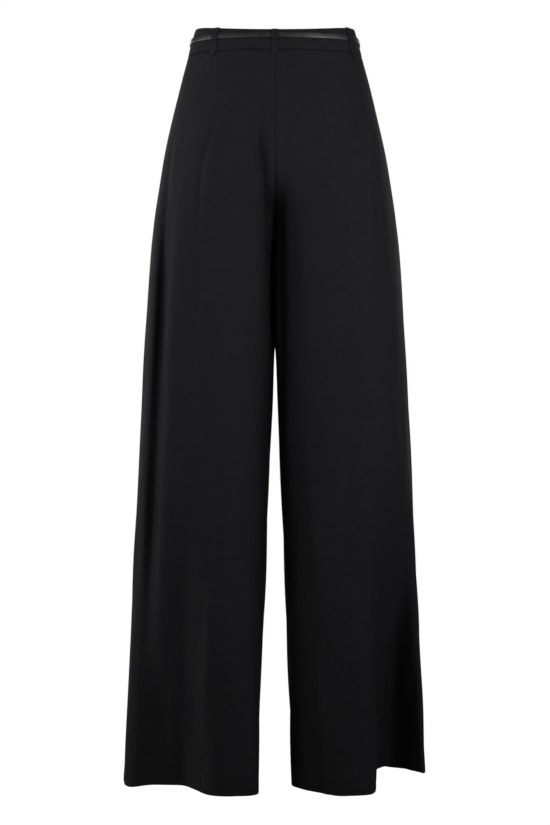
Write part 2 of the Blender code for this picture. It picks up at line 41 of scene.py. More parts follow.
# Metres, apart from the creases. The fly faces -Y, the back +Y, and the wearer's left is +X.
# "Out" is how far a point lies from the centre line towards its own side, "back" how far back it lies.

cloth = {
    "thick": 0.0016,
    "seamGap": 0.0003,  # between neighbouring pieces
    "seamDip": 0.0006,  # how far a sewn edge rolls in
    "seamRoll": 0.0013,  # and over what width
    "seamPuff": 0.0003,  # the cloth stands up a little beside a pressed seam
    "puffAway": 2.4,  # that many rolls from it
    "puffWide": 0.0022,
    "hemDeep": 0.038,  # turned up inside
    "hemFold": 0.0008,  # what the turn-up adds to the wall
    "foldStep": 0.0016,
    "hemTack": 0.0105,  # between the blind stitches that hold it
    "tackDip": 0.00022,
    "tackHigh": 0.0018,
    "hemRoll": 0.00035,  # the hem's lower edge, outside
    "hemRollHigh": 0.0012,
    "innerRoll": 0.0004,  # and inside
    "innerRollHigh": 0.0010,
    "hemBow": 0.0003,
}

cells = {  # the panels' mesh
    "size": 0.0032,  # away from seams
    "tall": 1.06,
    "finer": 0.88,  # beside seams and darts
    "finerReach": 0.0030,
    "back": 140,  # across a panel
    "front": 108,
}

wear = {"seam": 0.12, "besideSeam": 0.0016, "seamWide": 0.0012, "hemHigh": 0.0020}  # where edges look rubbed

leg = {
    "crotch": -0.285,
    "hem": -1.0555,
    "split": -0.4247,  # below this the legs stand apart
    "clear": 0.0007,  # from the centre line, where they touch
    "hemApart": 0.0264,
    "innerCorner": 2.5,  # how square a section is towards the other leg: 2 is an ellipse
    "sideSeam": 93.0,  # degrees round from straight back
    "wander": 0.004,  # the touching sides wind about the centre line
    "wanderWave": 0.022,
    "wanderReach": 0.035,
    "wanderStarts": 0.030,
    "wanderStops": 0.040,
    "still": 0.001,  # no crease this close to the centre line above the split
    "stillFade": 0.014,
    "freeBelow": 0.080,
    "straightTo": 0.0005,  # the centre seam's edges roll straight back
    "straightFade": 0.004,
    "straightBelow": 0.004,  # the crotch
    "turnReach": 0.012,  # the wall turns gently where the two legs part
    "turnSteps": 12,
}

band = {
    "topEdge": 0.0184,
    "sideRise": 0.0105,
    "seam": -0.0104,
    "thick": 0.0024,
    "stands": 0.0004,  # outside the panels
    "underEnd": -0.026,  # tucked behind the upper end in front
    "upperEnd": 0.006,
    "tucksOver": 0.010,
    "edgeRound": 0.0011,
    "puff": 0.0003,
    "uneven": 0.00016,
    "waves": (0.0117, 0.0310),  # of its unevenness
    "seamRoll": 0.0010,
    "endDip": 0.0004,
    "endRoll": 0.0010,
    "rubbed": 0.0016,
}

# One row for each height. The inner columns say where a section would close if the other leg weren't there.
sectionColumns = ("height", "lobe", "outer", "innerBack", "innerFront", "back", "front", "corner")
sections = (
    (0.0300, 0.000, 0.1146, -0.400, -0.400, 0.0766, -0.0812, 2.60),
    (0.0200, 0.000, 0.1174, -0.400, -0.400, 0.0773, -0.0820, 2.60),
    (0.0060, 0.000, 0.1214, -0.400, -0.400, 0.0783, -0.0832, 2.60),
    (-0.0110, 0.000, 0.1258, -0.400, -0.400, 0.0796, -0.0846, 2.60),
    (-0.0260, 0.000, 0.1301, -0.380, -0.380, 0.0830, -0.0875, 2.55),
    (-0.0500, 0.014, 0.1365, -0.330, -0.330, 0.0890, -0.0920, 2.50),
    (-0.1000, 0.034, 0.1486, -0.230, -0.250, 0.1000, -0.0990, 2.40),
    (-0.1560, 0.055, 0.1605, -0.115, -0.170, 0.1100, -0.1050, 2.35),
    (-0.2000, 0.070, 0.1677, -0.045, -0.105, 0.1150, -0.1080, 2.30),
    (-0.2430, 0.083, 0.1742, -0.004, -0.045, 0.1170, -0.1095, 2.30),
    (-0.2850, 0.092, 0.1788, 0.000, 0.000, 0.1175, -0.1105, 2.30),
    (-0.3520, 0.094, 0.1838, 0.000, 0.000, 0.1170, -0.1110, 2.30),
    (-0.4247, 0.096, 0.1882, 0.000, 0.000, 0.1160, -0.1120, 2.30),
    (-0.5910, 0.100, 0.1965, 0.000, 0.000, 0.1140, -0.1140, 2.30),
    (-0.7650, 0.106, 0.2051, 0.000, 0.000, 0.1120, -0.1170, 2.30),
    (-0.9390, 0.114, 0.2130, 0.000, 0.000, 0.1110, -0.1200, 2.30),
    (-1.0800, 0.120, 0.2196, 0.000, 0.000, 0.1105, -0.1220, 2.30),
)

never = -9.0  # a fold that ends here runs out through the hem
foldColumns = (
    "begins", "full", "fades", "ends", "outAtTop", "outAtBottom",
    "widthIn", "widthOut", "shape", "pushOut", "pushBack", "pushUp",
)  # fmt: skip
folds = {
    ("left", "back"): (
        # long groove down the left leg and the ridge beside it
        (-0.110, -0.370, -0.640, -0.960, 0.150, 0.184, 0.015, 0.016, 2.0, -0.004, -0.020, 0.000),
        (-0.110, -0.400, -0.640, -0.960, 0.128, 0.166, 0.016, 0.010, 2.0, 0.006, 0.004, 0.000),
        # the left leg's outer back goes forward towards the hem, and its inner back squares up
        (-0.640, leg["hem"], never, never, 0.135, 0.142, 0.032, 0.066, 3.0, 0.000, -0.050, 0.004),
        (-0.600, leg["hem"], never, never, 0.045, 0.053, 0.038, 0.050, 2.2, -0.023, 0.012, -0.002),
    ),
    ("right", "back"): (
        # right leg: its inner back turns in sharply below the seat
        (-0.192, -0.262, -0.440, -0.600, 0.0108, 0.0138, 0.015, 0.0078, 2.0, 0.000, -0.016, 0.000),
        # the deep fold behind the right leg's side, and its raised hem
        (-0.560, leg["hem"], never, never, 0.165, 0.188, 0.038, 0.050, 3.0, -0.034, -0.100, 0.004),
        (-0.560, leg["hem"], never, never, 0.190, 0.207, 0.060, 0.110, 3.0, 0.000, -0.012, 0.011),
        (-0.640, leg["hem"], never, never, 0.034, 0.037, 0.030, 0.033, 2.6, -0.010, 0.004, 0.004),
        (-0.800, leg["hem"], never, never, 0.085, 0.088, 0.018, 0.030, 2.0, 0.000, 0.003, -0.001),
    ),
    ("left", "front"): (
        # plain folds in front
        (-0.330, -0.850, never, never, 0.140, 0.158, 0.030, 0.036, 2.0, 0.000, 0.022, 0.003),
        (-0.560, leg["hem"], never, never, 0.060, 0.066, 0.026, 0.022, 2.0, 0.000, 0.014, 0.002),
    ),
    ("right", "front"): (
        (-0.400, -0.900, never, never, 0.085, 0.078, 0.028, 0.034, 2.0, 0.000, 0.024, 0.003),
        (-0.520, leg["hem"], never, never, 0.160, 0.172, 0.024, 0.026, 2.0, 0.000, 0.014, 0.002),
    ),
}

# Creases push the cloth in (troughs) or out (ridges), all in millimetres: how deep, how wide inwards and
# outwards, over what height they fade at the top and the bottom, and their line of (height, out).
creases = {
    ("left", "back"): (
        # left seat: a deep crease beside the centre back seam, and the fullness over it
        (-2.2, 3, 3.4, 20, 50, ((-84, 16.8), (-104, 18.4), (-124, 21.4), (-142, 23.2), (-175, 21))),
        (-10.0, 8, 8, 60, 80, (
            (-106, 20.5), (-142, 22.2), (-170, 18.8), (-199, 12.8), (-226, 9.2), (-250, 7.6), (-340, 6.5))),
        (1.8, 6, 14, 60, 90, ((-90, 30), (-131, 35), (-180, 34.5), (-236, 29), (-330, 24))),
        # from the left dart's end down and outwards
        (-2.2, 3, 4.5, 18, 200, (
            (-104, 80.5), (-134, 89.6), (-161, 97.4), (-179, 102.2), (-247, 106.4), (-505, 112))),
        (0.9, 8, 6, 50, 200, ((-120, 76), (-161, 86), (-247, 96), (-450, 100))),
        # the bright crest beside the long groove
        (2.4, 7, 2.6, 50, 260, (
            (-112, 127), (-155, 139.6), (-208, 143.5), (-373, 150.5), (-505, 158), (-645, 168),
            (-950, 183))),
        (-2.2, 4, 6, 60, 200, ((-112, 139), (-170, 150), (-260, 156), (-505, 169), (-850, 188))),
        (0.8, 3, 3, 20, 50, ((-110, 121.5), (-140, 131), (-190, 137.5))),
        # low down on the left leg
        (3.2, 9, 6, 90, 30, ((-722, 86.8), (-841, 93.8), (-925, 98), (-1022, 103))),
        (-2.0, 10, 8, 120, 60, ((-740, 101), (-841, 109), (-925, 114), (-1030, 119))),
        (-2.2, 9, 7, 20, 30, ((-1000, 101), (-1030, 105), (-1070, 108))),
        (-1.3, 16, 12, 120, 200, ((-600, 122), (-780, 128), (-990, 135))),
        (-1.5, 12, 10, 120, 80, ((-680, 48), (-820, 50), (-960, 54), (-1070, 58))),
    ),
    ("right", "back"): (
        # right hip: a dimple under the dart, and two ridges
        (-2.6, 3, 4.2, 14, 30, ((-96, 112), (-112, 115), (-150, 118))),
        (2.3, 3.6, 3, 18, 90, (
            (-94, 117), (-104, 120.6), (-118, 127), (-140, 131.4), (-208, 133), (-300, 133))),
        (0.9, 2.4, 2.4, 12, 20, ((-106, 106), (-125, 107.2), (-156, 109))),
        (-1.4, 5, 6, 40, 100, ((-105, 134), (-150, 142.5), (-225, 145), (-330, 147))),
        (0.8, 7, 5, 40, 60, ((-155, 104), (-210, 104), (-285, 106))),
        (-0.9, 9, 9, 60, 160, ((-140, 113), (-230, 118), (-430, 125))),
        # low down on the right leg
        (3.2, 6, 2.7, 110, 60, ((-660, 129), (-785, 133), (-841, 135.8), (-991, 139.6), (-1070, 142))),
        (2.2, 6, 5, 30, 10, ((-970, 68), (-1010, 69), (-1070, 72))),
        (-1.6, 11, 9, 100, 100, ((-560, 43), (-700, 45), (-860, 50), (-1070, 54))),
        (1.0, 14, 10, 160, 200, ((-300, 76), (-480, 78), (-720, 84))),
        (-1.1, 12, 10, 160, 160, ((-480, 101), (-640, 104), (-860, 110))),
    ),
    ("left", "front"): (
        # the front, which doesn't show: soft folds from the crotch and the hips, and long ones down the legs
        (-2.4, 6, 9, 30, 50, ((-205, 56), (-232, 36), (-262, 19), (-300, 10))),
        (-1.5, 6, 8, 30, 50, ((-180, 84), (-222, 60), (-262, 44), (-320, 34))),
        (1.8, 6, 9, 100, 200, ((-130, 78), (-280, 86), (-520, 93), (-840, 101))),
        (-1.6, 7, 5, 60, 160, ((-110, 120), (-170, 133), (-300, 140), (-560, 148))),
        (2.6, 8, 6, 160, 40, ((-640, 96), (-840, 101), (-1070, 106))),
    ),
    ("right", "front"): (
        (-2.0, 6, 8, 30, 50, ((-216, 50), (-240, 33), (-268, 20), (-310, 11))),
        (-1.2, 8, 6, 40, 80, ((-170, 96), (-226, 74), (-300, 56), (-380, 50))),
        (1.6, 9, 6, 100, 200, ((-140, 72), (-300, 82), (-560, 96), (-860, 105))),
        (-1.8, 6, 8, 70, 180, ((-120, 125), (-200, 138), (-360, 145), (-640, 156))),
        (2.8, 7, 8, 140, 40, ((-600, 119), (-800, 123), (-1070, 129))),
        (-2.0, 9, 7, 120, 60, ((-700, 48), (-880, 52), (-1070, 56))),
    ),
}

darts = {
    "left": 0.0888,  # how far out the back dart lies
    "right": 0.1087,
    "ends": -0.098,
    "fade": 0.030,
    "deep": 0.00042,
    "wide": 0.0008,
    "finerBelow": 0.040,
}

drape = {  # slow unevenness of the hanging cloth, as (waves round the leg, slant, phase, share)
    "atHip": 0.00016,
    "atHem": 0.00080,
    "waves": ((8, 3.6, 0.4, 1.0), (13, -3.9, 2.1, 0.7), (19, 3.1, 4.4, 0.45), (29, -3.1, 1.3, 0.2)),
    "startsOver": 0.06,
    "rightPhase": 1.7,
}

allRound = np.radians(np.linspace(-90, 270, 1441))  # directions of the dense points round a leg
atSide = np.searchsorted(allRound, math.radians(leg["sideSeam"]))


def smoothThrough(x, knots, values):
    # a smooth curve through the knots that never overshoots them
    slope = np.diff(values) / np.diff(knots)
    tangent = np.zeros(len(values))
    same = slope[1:] * slope[:-1] > 0
    tangent[1:-1][same] = 2 * slope[1:][same] * slope[:-1][same] / (slope[1:] + slope[:-1])[same]
    tangent[0], tangent[-1] = slope[0], slope[-1]
    x = np.clip(x, knots[0], knots[-1])
    i = np.clip(np.searchsorted(knots, x, side="right") - 1, 0, len(knots) - 2)
    step = knots[i + 1] - knots[i]
    t = (x - knots[i]) / step
    return (
        (2 * t**3 - 3 * t**2 + 1) * values[i]
        + (t**3 - 2 * t**2 + t) * step * tangent[i]
        + (3 * t**2 - 2 * t**3) * values[i + 1]
        + (t**3 - t**2) * step * tangent[i + 1]
    )


def ease(x):
    x = np.clip(x, 0, 1)
    return x * x * (3 - 2 * x)


def fading(distance, reach):
    # 1 at no distance, dying away past the reach
    return np.exp(-((distance / reach) ** 2))


def rounded(toEdge, radius):
    # the share of the radius by which a rounded edge has dropped
    return 1 - np.sqrt(1 - np.clip(1 - toEdge / radius, 0, 1) ** 2)


def unit(vectors):
    return vectors / np.linalg.norm(vectors, axis=-1, keepdims=True)


def lengthAlong(points):
    # the distance walked along each row of points
    step = np.linalg.norm(np.diff(points, axis=-2), axis=-1)
    return np.concatenate([0 * step[..., :1], np.cumsum(step, axis=-1)], axis=-1)


def sectionValue(name, height):
    at = sectionColumns.index(name)
    knots, values = np.array(sorted((row[0], row[at]) for row in sections)).T
    return smoothThrough(height, knots, values)


def innerSide(height, column):
    share = np.clip((leg["split"] - height) / (leg["split"] - leg["hem"]), 0, None)
    below = leg["clear"] + share * (leg["hemApart"] - leg["clear"])
    return np.where(height > leg["crotch"], np.minimum(sectionValue(column, height), leg["clear"]), below)


def sectionPoint(angle, height):
    # angle 0 is straight back, 90 the side, 180 front, 270 the inside
    lobe = sectionValue("lobe", height)
    sine, cosine = np.sin(angle), np.cos(angle)
    inner = np.where(cosine > 0, innerSide(height, "innerBack"), innerSide(height, "innerFront"))
    halfWidth = np.where(sine > 0, sectionValue("outer", height) - lobe, lobe - inner)
    depth = np.where(cosine > 0, sectionValue("back", height), -sectionValue("front", height))
    power = 2 / np.where(sine > 0, sectionValue("corner", height), leg["innerCorner"])
    out = lobe + halfWidth * np.sign(sine) * np.abs(sine) ** power
    return out, depth * np.sign(cosine) * np.abs(cosine) ** power


def awayFrom(place, out, walked, face):
    # how far along the cloth each point of each ring lies from a place on its back or front,
    # and from the first fold met where the line doubles back
    way = 1 if face == "back" else -1
    onFace = allRound * way <= math.pi / 2 * way
    away = np.empty(out.shape)
    for k in range(len(out)):
        line, distance = out[k, onFace][::way], walked[k, onFace][::way]
        line = np.maximum.accumulate(line) + 1e-9 * np.arange(len(line))
        step = (walked[k] - np.interp(place[k], line, distance)) * way
        around = walked[k, -1]
        away[k] = (step + around / 2) % around - around / 2
    return away


def bulge(away, widthIn, widthOut, shape=2.0):
    return np.exp(-(np.abs(away / np.where(away < 0, widthIn, widthOut)) ** shape))


def foldedRings(side, heights):
    angle, height = np.meshgrid(allRound, heights)
    out, back = sectionPoint(angle, height)
    walked = lengthAlong(np.stack([out, back], axis=2))
    moved = np.zeros(angle.shape + (3,))
    for face in ("back", "front"):
        for row in folds[side, face]:
            fold = dict(zip(foldColumns, row))
            strength = ease((fold["begins"] - heights) / (fold["begins"] - fold["full"]))
            if fold["ends"] > leg["hem"]:
                strength = strength * ease((heights - fold["ends"]) / (fold["fades"] - fold["ends"]))
            share = (fold["begins"] - heights) / (fold["begins"] - max(fold["ends"], leg["hem"]))
            place = fold["outAtTop"] + share * (fold["outAtBottom"] - fold["outAtTop"])
            away = awayFrom(place, out, walked, face)
            push = strength[:, None] * bulge(away, fold["widthIn"], fold["widthOut"], fold["shape"])
            moved += push[..., None] * [fold["pushOut"], fold["pushBack"], fold["pushUp"]]
    return np.stack([out, back, height], axis=2) + moved


def ringNormals(rings, heights):
    along = np.gradient(rings, axis=1)
    closed = heights <= leg["crotch"]
    along[closed, 0] = along[closed, -1] = rings[closed, 1] - rings[closed, -2]
    return unit(np.cross(along, np.gradient(rings, axis=0)))


def creasedRings(side, heights):
    # the folded rings, pushed in and out along the creases, darts and the slow unevenness of the cloth
    rings = foldedRings(side, heights)
    out, walked = rings[..., 0], lengthAlong(rings[..., :2])
    push = np.zeros(out.shape)

    def pushAlong(face, place, strength, deep, widthIn, widthOut):
        there = strength > 0
        away = awayFrom(place[there], out[there], walked[there], face)
        push[there] += deep * strength[there, None] * bulge(away, widthIn, widthOut)

    for face in ("back", "front"):
        for *sizes, line in creases[side, face]:
            deep, widthIn, widthOut, fadeTop, fadeBottom = np.array(sizes) / 1000
            lineHeights, lineOuts = np.array(sorted(line)).T / 1000
            place = smoothThrough(heights, lineHeights, lineOuts)
            strength = ease((lineHeights[-1] - heights) / fadeTop)
            strength = strength * ease((heights - lineHeights[0]) / fadeBottom)
            pushAlong(face, place, strength, deep, widthIn, widthOut)
    place, strength = np.full(len(heights), darts[side]), ease((heights - darts["ends"]) / darts["fade"])
    pushAlong("back", place, strength, -darts["deep"], darts["wide"], darts["wide"])
    below = band["seam"] - heights[:, None]
    high = drape["atHip"] + ease(below / (band["seam"] - leg["hem"])) * (drape["atHem"] - drape["atHip"])
    high = high * ease(below / drape["startsOver"])
    turn = 0.0 if side == "left" else drape["rightPhase"]
    shareRound = walked / walked[:, -1:]
    for waves, slant, phase, part in drape["waves"]:
        turns = waves * shareRound + slant * heights[:, None]
        push += high * part * np.sin(2 * math.pi * turns + phase + turn)
    # the centre seam's edges and the touching inner sides stay put
    apart = ease((leg["split"] - heights) / leg["freeBelow"])[:, None]
    free = np.maximum(apart, ease((out - leg["still"]) / leg["stillFade"]))
    return rings + (push * free)[..., None] * ringNormals(rings, heights)


def wander(points):
    close = fading(points[..., 0], leg["wanderReach"])
    begins = ease((leg["crotch"] - points[..., 2]) / leg["wanderStarts"] / 2 + 0.5)
    stops = ease((points[..., 2] - leg["split"]) / leg["wanderStops"] / 2 + 0.5)
    return leg["wander"] * close * begins * stops * np.sin(points[..., 1] / leg["wanderWave"])


def spacing(walked, marks):
    # wanted size of a cell, finer beside seams and darts
    size = np.full(walked.shape, cells["size"])
    for place, strength in marks:
        size *= 1 - cells["finer"] * strength * fading(walked - place, cells["finerReach"])
    return size


def cutRow(side, row, out, height):
    # one row's points for the back and front panel, from the dense points all round the leg
    walked = lengthAlong(row)
    gap = cloth["seamGap"] / 2
    start, end = gap, walked[-1] - gap
    if out[0] < gap:
        third = len(row) // 3
        start = np.interp(gap, out[:third], walked[:third])
        end = np.interp(gap, out[::-1][:third], walked[::-1][:third])
    seam = walked[atSide]
    half = len(row) // 2
    dart = np.interp(darts[side], out[:half], walked[:half])
    dartShows = float(ease((height - darts["ends"]) / darts["finerBelow"] + 1))
    halves = []
    for first, last, face in ((start, seam - gap, "back"), (seam + gap, end, "front")):
        fine = np.linspace(first, last, 2000)
        marks = [(first, 1.0), (last, 1.0)] + ([(dart, dartShows)] if face == "back" else [])
        weight = np.concatenate([[0], np.cumsum(1 / spacing((fine[1:] + fine[:-1]) / 2, marks))])
        places = np.interp(np.linspace(0, weight[-1], cells[face] + 1), weight, fine)
        points = np.stack([np.interp(places, walked, row[:, k]) for k in range(3)], axis=1)
        halves.append((points, places - first))
    return halves


def rowHeights():
    marks = (  # where rows lie close together, how much closer, and over what reach
        (band["seam"], 0.85, 0.003),
        (leg["crotch"], 0.60, 0.012),
        (leg["hem"] + cloth["hemDeep"], 0.75, 0.003),
        (leg["hem"], 0.85, 0.003),
    )
    fine = np.linspace(band["seam"] - cloth["seamGap"], leg["hem"], 6000)
    size = np.full(fine.shape, cells["size"] * cells["tall"])
    for mark, closer, reach in marks:
        size *= 1 - closer * fading(fine - mark, reach)
    weight = np.concatenate([[0], np.cumsum(1 / size[1:])]) * -np.gradient(fine)
    return np.interp(np.linspace(0, weight[-1], int(round(weight[-1])) + 1), weight, fine)


def legPanels(side, heights):
    # the outer face, its normals and its cloth coordinates, for a leg's back and front panel
    way = 1 if side == "left" else -1
    rings = creasedRings(side, heights)
    outs = rings[..., 0].copy()
    rings[..., 0] *= way
    rings[..., 0] += wander(rings)
    rows = [cutRow(side, ring, out, height) for ring, out, height in zip(rings, outs, heights)]
    faces, across = (
        {name: np.array([row[k][part] for row in rows]) for k, name in enumerate(("back", "front"))}
        for part in range(2)
    )
    seam = (faces["back"][:, -1:] + faces["front"][:, :1]) / 2
    whole = np.concatenate([faces["back"][:, :-1], seam, faces["front"][:, 1:]], axis=1)
    normals = ringNormals(whole, heights) * way
    close = fading(heights - leg["crotch"], leg["turnReach"])[1:-1, None, None]
    for _ in range(leg["turnSteps"]):
        normals[1:-1] += close * ((normals[:-2] + normals[2:]) / 2 - normals[1:-1]) / 2
    normals = unit(normals)
    joined = heights > leg["crotch"]
    for edge in (0, -1):
        normals[joined, edge, 0] = way * np.minimum(0, way * normals[joined, edge, 0])
    normals = {"back": normals[:, : cells["back"] + 1], "front": normals[:, cells["back"] :]}
    return {name: (faces[name], normals[name], across[name]) for name in faces}


def rollIn(distance):
    # a sewn edge's dip and the small rise beside it
    rise = fading(distance - cloth["puffAway"] * cloth["seamRoll"], cloth["puffWide"])
    return cloth["seamPuff"] * rise - cloth["seamDip"] * fading(distance, cloth["seamRoll"])


def faceArea(points):
    one, two = points[1:, 1:] - points[:-1, :-1], points[1:, :-1] - points[:-1, 1:]
    return float(np.linalg.norm(np.cross(one, two), axis=2).sum() / 2)


def makeLegs(heights):
    made = {}
    for side, way in (("left", 1), ("right", -1)):
        for face, (points, normals, across) in legPanels(side, heights).items():
            toEdge = np.minimum(across, across[:, -1:] - across)
            down = lengthAlong(points.mean(axis=1))[:, None]
            toHem = heights[:, None] - leg["hem"]
            tack = np.cos(across / cloth["hemTack"] * 2 * math.pi) ** 2
            dip = rollIn(toEdge) + rollIn(down)
            dip = dip - cloth["tackDip"] * tack * fading(toHem - cloth["hemDeep"], cloth["tackHigh"])
            push = normals * (dip - cloth["hemRoll"] * fading(toHem, cloth["hemRollHigh"]))[..., None]
            fromCentre = across if face == "back" else across[:, -1:] - across
            above = heights[:, None] > leg["crotch"] - leg["straightBelow"]
            push[..., 0] *= np.where(above, ease((fromCentre - leg["straightTo"]) / leg["straightFade"]), 1.0)
            turnUp = cloth["hemFold"] * ease((cloth["hemDeep"] - toHem) / cloth["foldStep"] + 0.5)
            thick = cloth["thick"] + turnUp - cloth["innerRoll"] * fading(toHem, cloth["innerRollHigh"])
            inner = points - normals * thick[..., None]
            rubbed = wear["seam"] * fading(toEdge - wear["besideSeam"], wear["seamWide"])
            rubbed = np.clip(rubbed + fading(toHem, wear["hemHigh"]), 0, 1)
            piece = wallMesh(f"cloth_{face}_{side}", points + push, inner, way=way, bow=cloth["hemBow"],
                             grain=(across, down), worn=rubbed)
            dress(piece, f"{face}_{side}")
            cut = (float(across[:, -1].max()), float(down[-1, 0]), faceArea(points))
            made[face, side] = (inner, normals, across, piece, cut)
    return made


allowance = {
    "wide": 0.011,
    "thick": 0.0008,
    "off": 0.00012,
    "atWaist": 0.008,
    "endGap": 0.001,
    "belowWaist": 0.0012,  # from the waist's allowance
    "aboveCrotch": 0.020,
    "belowCrotch": 0.010,
    "aboveHem": 0.006,  # from the turn-up
    "steps": (0.01, 0.12, 0.35, 0.6, 0.85, 0.97, 1.0),
}


def allowanceSide(panel, rows, fromLast):
    # points of a panel's inner face at set distances from its first or last edge, on some rows
    inner, normals, across = panel[:3]
    steps = allowance["wide"] * np.array(allowance["steps"])
    points, facing = [], []
    for k in rows:
        distance = across[k, -1] - across[k][::-1] if fromLast else across[k]
        for grid, kept in ((inner, points), (normals, facing)):
            line = grid[k][::-1] if fromLast else grid[k]
            kept.append(np.stack([np.interp(steps, distance, line[:, c]) for c in range(3)], axis=1))
    return np.array(points), np.array(facing)


def makeAllowances(heights, panels):
    # the seams' turned edges, pressed open inside
    whole = heights < band["seam"] - allowance["atWaist"] - allowance["belowWaist"]
    whole &= heights > leg["hem"] + cloth["hemDeep"] + allowance["aboveHem"]
    above = whole & (heights > leg["crotch"] + allowance["aboveCrotch"])
    below = whole & (heights < leg["crotch"] - allowance["belowCrotch"])
    seams = {
        "centre_back": (("back", "left", False), ("back", "right", False), above, -1),
        "centre_front": (("front", "left", True), ("front", "right", True), above, 1),
    }
    for side, way in (("left", 1), ("right", -1)):
        seams[f"side_{side}"] = (("back", side, True), ("front", side, False), whole, way)
        seams[f"inner_{side}"] = (("front", side, True), ("back", side, False), below, way)
    made = {}
    for name, (one, two, rows, way) in seams.items():
        rows = np.flatnonzero(rows)
        rows = np.union1d(rows[::2], rows[-1:])
        first, firstFacing = allowanceSide(panels[one[:2]], rows, one[2])
        second, secondFacing = allowanceSide(panels[two[:2]], rows, two[2])
        points = np.concatenate([first[:, ::-1], second], axis=1)
        facing = np.concatenate([firstFacing[:, ::-1], secondFacing], axis=1)
        middle = first.shape[1]
        facing[:, middle - 1] = facing[:, middle] = unit((facing[:, middle - 1] + facing[:, middle]) / 2)
        top = points - facing * allowance["off"]
        bottom = top - facing * allowance["thick"]
        grain = (lengthAlong(points), heights[rows][:, None])
        made[name] = wallMesh(f"seam_allowance_{name}", top, bottom, way=way, grain=grain, rim=0)
        dress(made[name])
    return made


def wallMesh(name, outer, inner, way=1, bow=0.0, grain=None, worn=None, rim=2):
    # a closed wall between two grids; seen from outside, rows go down and columns left, or up and right
    # bow rounds the rim out below the last row
    rows, columns = outer.shape[:2]
    size = rows * columns
    number = np.arange(size).reshape(rows, columns)
    upper, lower = number[:-1], number[1:]
    front = np.stack([upper[:, :-1], upper[:, 1:], lower[:, 1:], lower[:, :-1]], axis=-1).reshape(-1, 4)
    loop = np.concatenate([number[0, ::-1], number[1:, 0], number[-1, 1:], number[-2:0:-1, -1]])
    lean = np.zeros(outer.shape)
    if bow:
        lean[-1] = bow * unit(outer[-1] - outer[-2])
    ringOut, ringIn, ringLean = (grid.reshape(-1, 3)[loop] for grid in (outer, inner, lean))
    points = [outer.reshape(-1, 3), inner.reshape(-1, 3)]
    source = [np.arange(size), np.arange(size)]
    rings = [loop]
    for k in range(1, rim + 1):
        share = k / (rim + 1)
        points.append(ringOut + (ringIn - ringOut) * share + ringLean * math.sin(math.pi * share))
        source.append(loop)
        rings.append(2 * size + (k - 1) * len(loop) + np.arange(len(loop)))
    rings.append(size + loop)
    faces = [front, size + front[:, ::-1]]
    for one, two in zip(rings, rings[1:]):
        faces.append(np.stack([one, np.roll(one, -1), np.roll(two, -1), two], axis=1))
    faces = np.concatenate(faces)
    if way < 0:
        faces = faces[:, ::-1]
    source = np.concatenate(source)
    grain = np.stack(np.broadcast_arrays(*grain), axis=-1).reshape(-1, 2)[source]
    worn = None if worn is None else np.broadcast_to(worn, outer.shape[:2]).reshape(-1)[source]
    return meshPiece(name, np.concatenate(points), faces.tolist(), grain, worn)


def meshPiece(name, points, faces, grain=None, worn=None):
    # a smooth piece that carries the cloth's coordinates for its weave, and how much its edges are rubbed
    grain = points[:, [0, 2]] if grain is None else grain
    worn = np.zeros(len(points)) if worn is None else worn
    mesh = bpy.data.meshes.new(name)
    mesh.from_pydata(points.tolist(), [], faces)
    for layer, kind, field, values in (
        ("grain", "FLOAT_VECTOR", "vector", np.column_stack([grain, 0 * worn])),
        ("worn", "FLOAT", "value", worn),
    ):
        made = mesh.attributes.new(layer, kind, "POINT")
        made.data.foreach_set(field, values.astype(np.float32).ravel())
    mesh.shade_smooth()
    return addPiece(name, mesh)


def addPiece(name, mesh):
    piece = bpy.data.objects.new(name, mesh)
    bpy.context.scene.collection.objects.link(piece)
    return piece


def dress(piece, node=None, slot="black_crepe", material=None):
    piece.data.materials.append(material or finishes[slot])
    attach(piece, "root")
    if node:
        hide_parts(node)
    return piece


# The waist's face, which the band, belt, loops and buckle follow. "Along" is walked from the centre front.
waistAngle = np.radians(np.linspace(180, -180, 2881))


def ringPoint(angle, height):
    out, back = sectionPoint(np.abs(angle), np.broadcast_to(height, np.shape(angle)))
    return np.stack([np.sign(angle) * np.maximum(out, 0), back], axis=-1)


waistRing = ringPoint(waistAngle, 0.0)
waistWalked = lengthAlong(waistRing)
waistRound = waistWalked[-1]


def angleAt(along):
    return np.interp(along % waistRound, waistWalked, waistAngle)


def waistFace(along, height):
    flat = ringPoint(angleAt(along), height)
    return np.concatenate([flat, np.broadcast_to(height, flat.shape[:-1])[..., None]], axis=-1)


def offWaist(along, height, off):
    step = 0.002
    along, height = np.broadcast_arrays(along, height)
    level = waistFace(along + step, height) - waistFace(along - step, height)
    rise = waistFace(along, height + step) - waistFace(along, height - step)
    off = np.broadcast_to(off, along.shape)[..., None]
    return waistFace(along, height) + unit(np.cross(level, rise)) * off


def placeOf(across, face):
    there = (waistRing[:, 1] > 0) == (face == "back")
    there &= (waistRing[:, 0] >= 0) == (across >= 0)
    order = np.argsort(waistRing[there, 0])
    return float(np.interp(across, waistRing[there, 0][order], waistWalked[there][order]))


def topEdge(along):
    return band["topEdge"] + band["sideRise"] * np.sin(angleAt(along)) ** 2


def tuckedBehind(along):
    # 1 where the band's under end lies behind its upper end, easing to 0 beside it
    return 1 - ease((along - band["upperEnd"]) / band["tucksOver"])


def makeWaistAllowance():
    # the panels' top edges, turned up behind the band
    along = np.linspace(band["underEnd"], waistRound + band["underEnd"] - allowance["endGap"], 270)
    height = band["seam"] + np.linspace(-1, 1, 7)[:, None] * allowance["atWaist"]
    off = band["stands"] - band["thick"] - (band["thick"] + cloth["seamGap"]) * tuckedBehind(along)
    outer = offWaist(along, height, off - allowance["off"])
    inner = offWaist(along, height, off - allowance["off"] - allowance["thick"])
    piece = wallMesh("seam_allowance_waist", outer, inner, grain=(along, height), rim=0)
    return dress(piece)


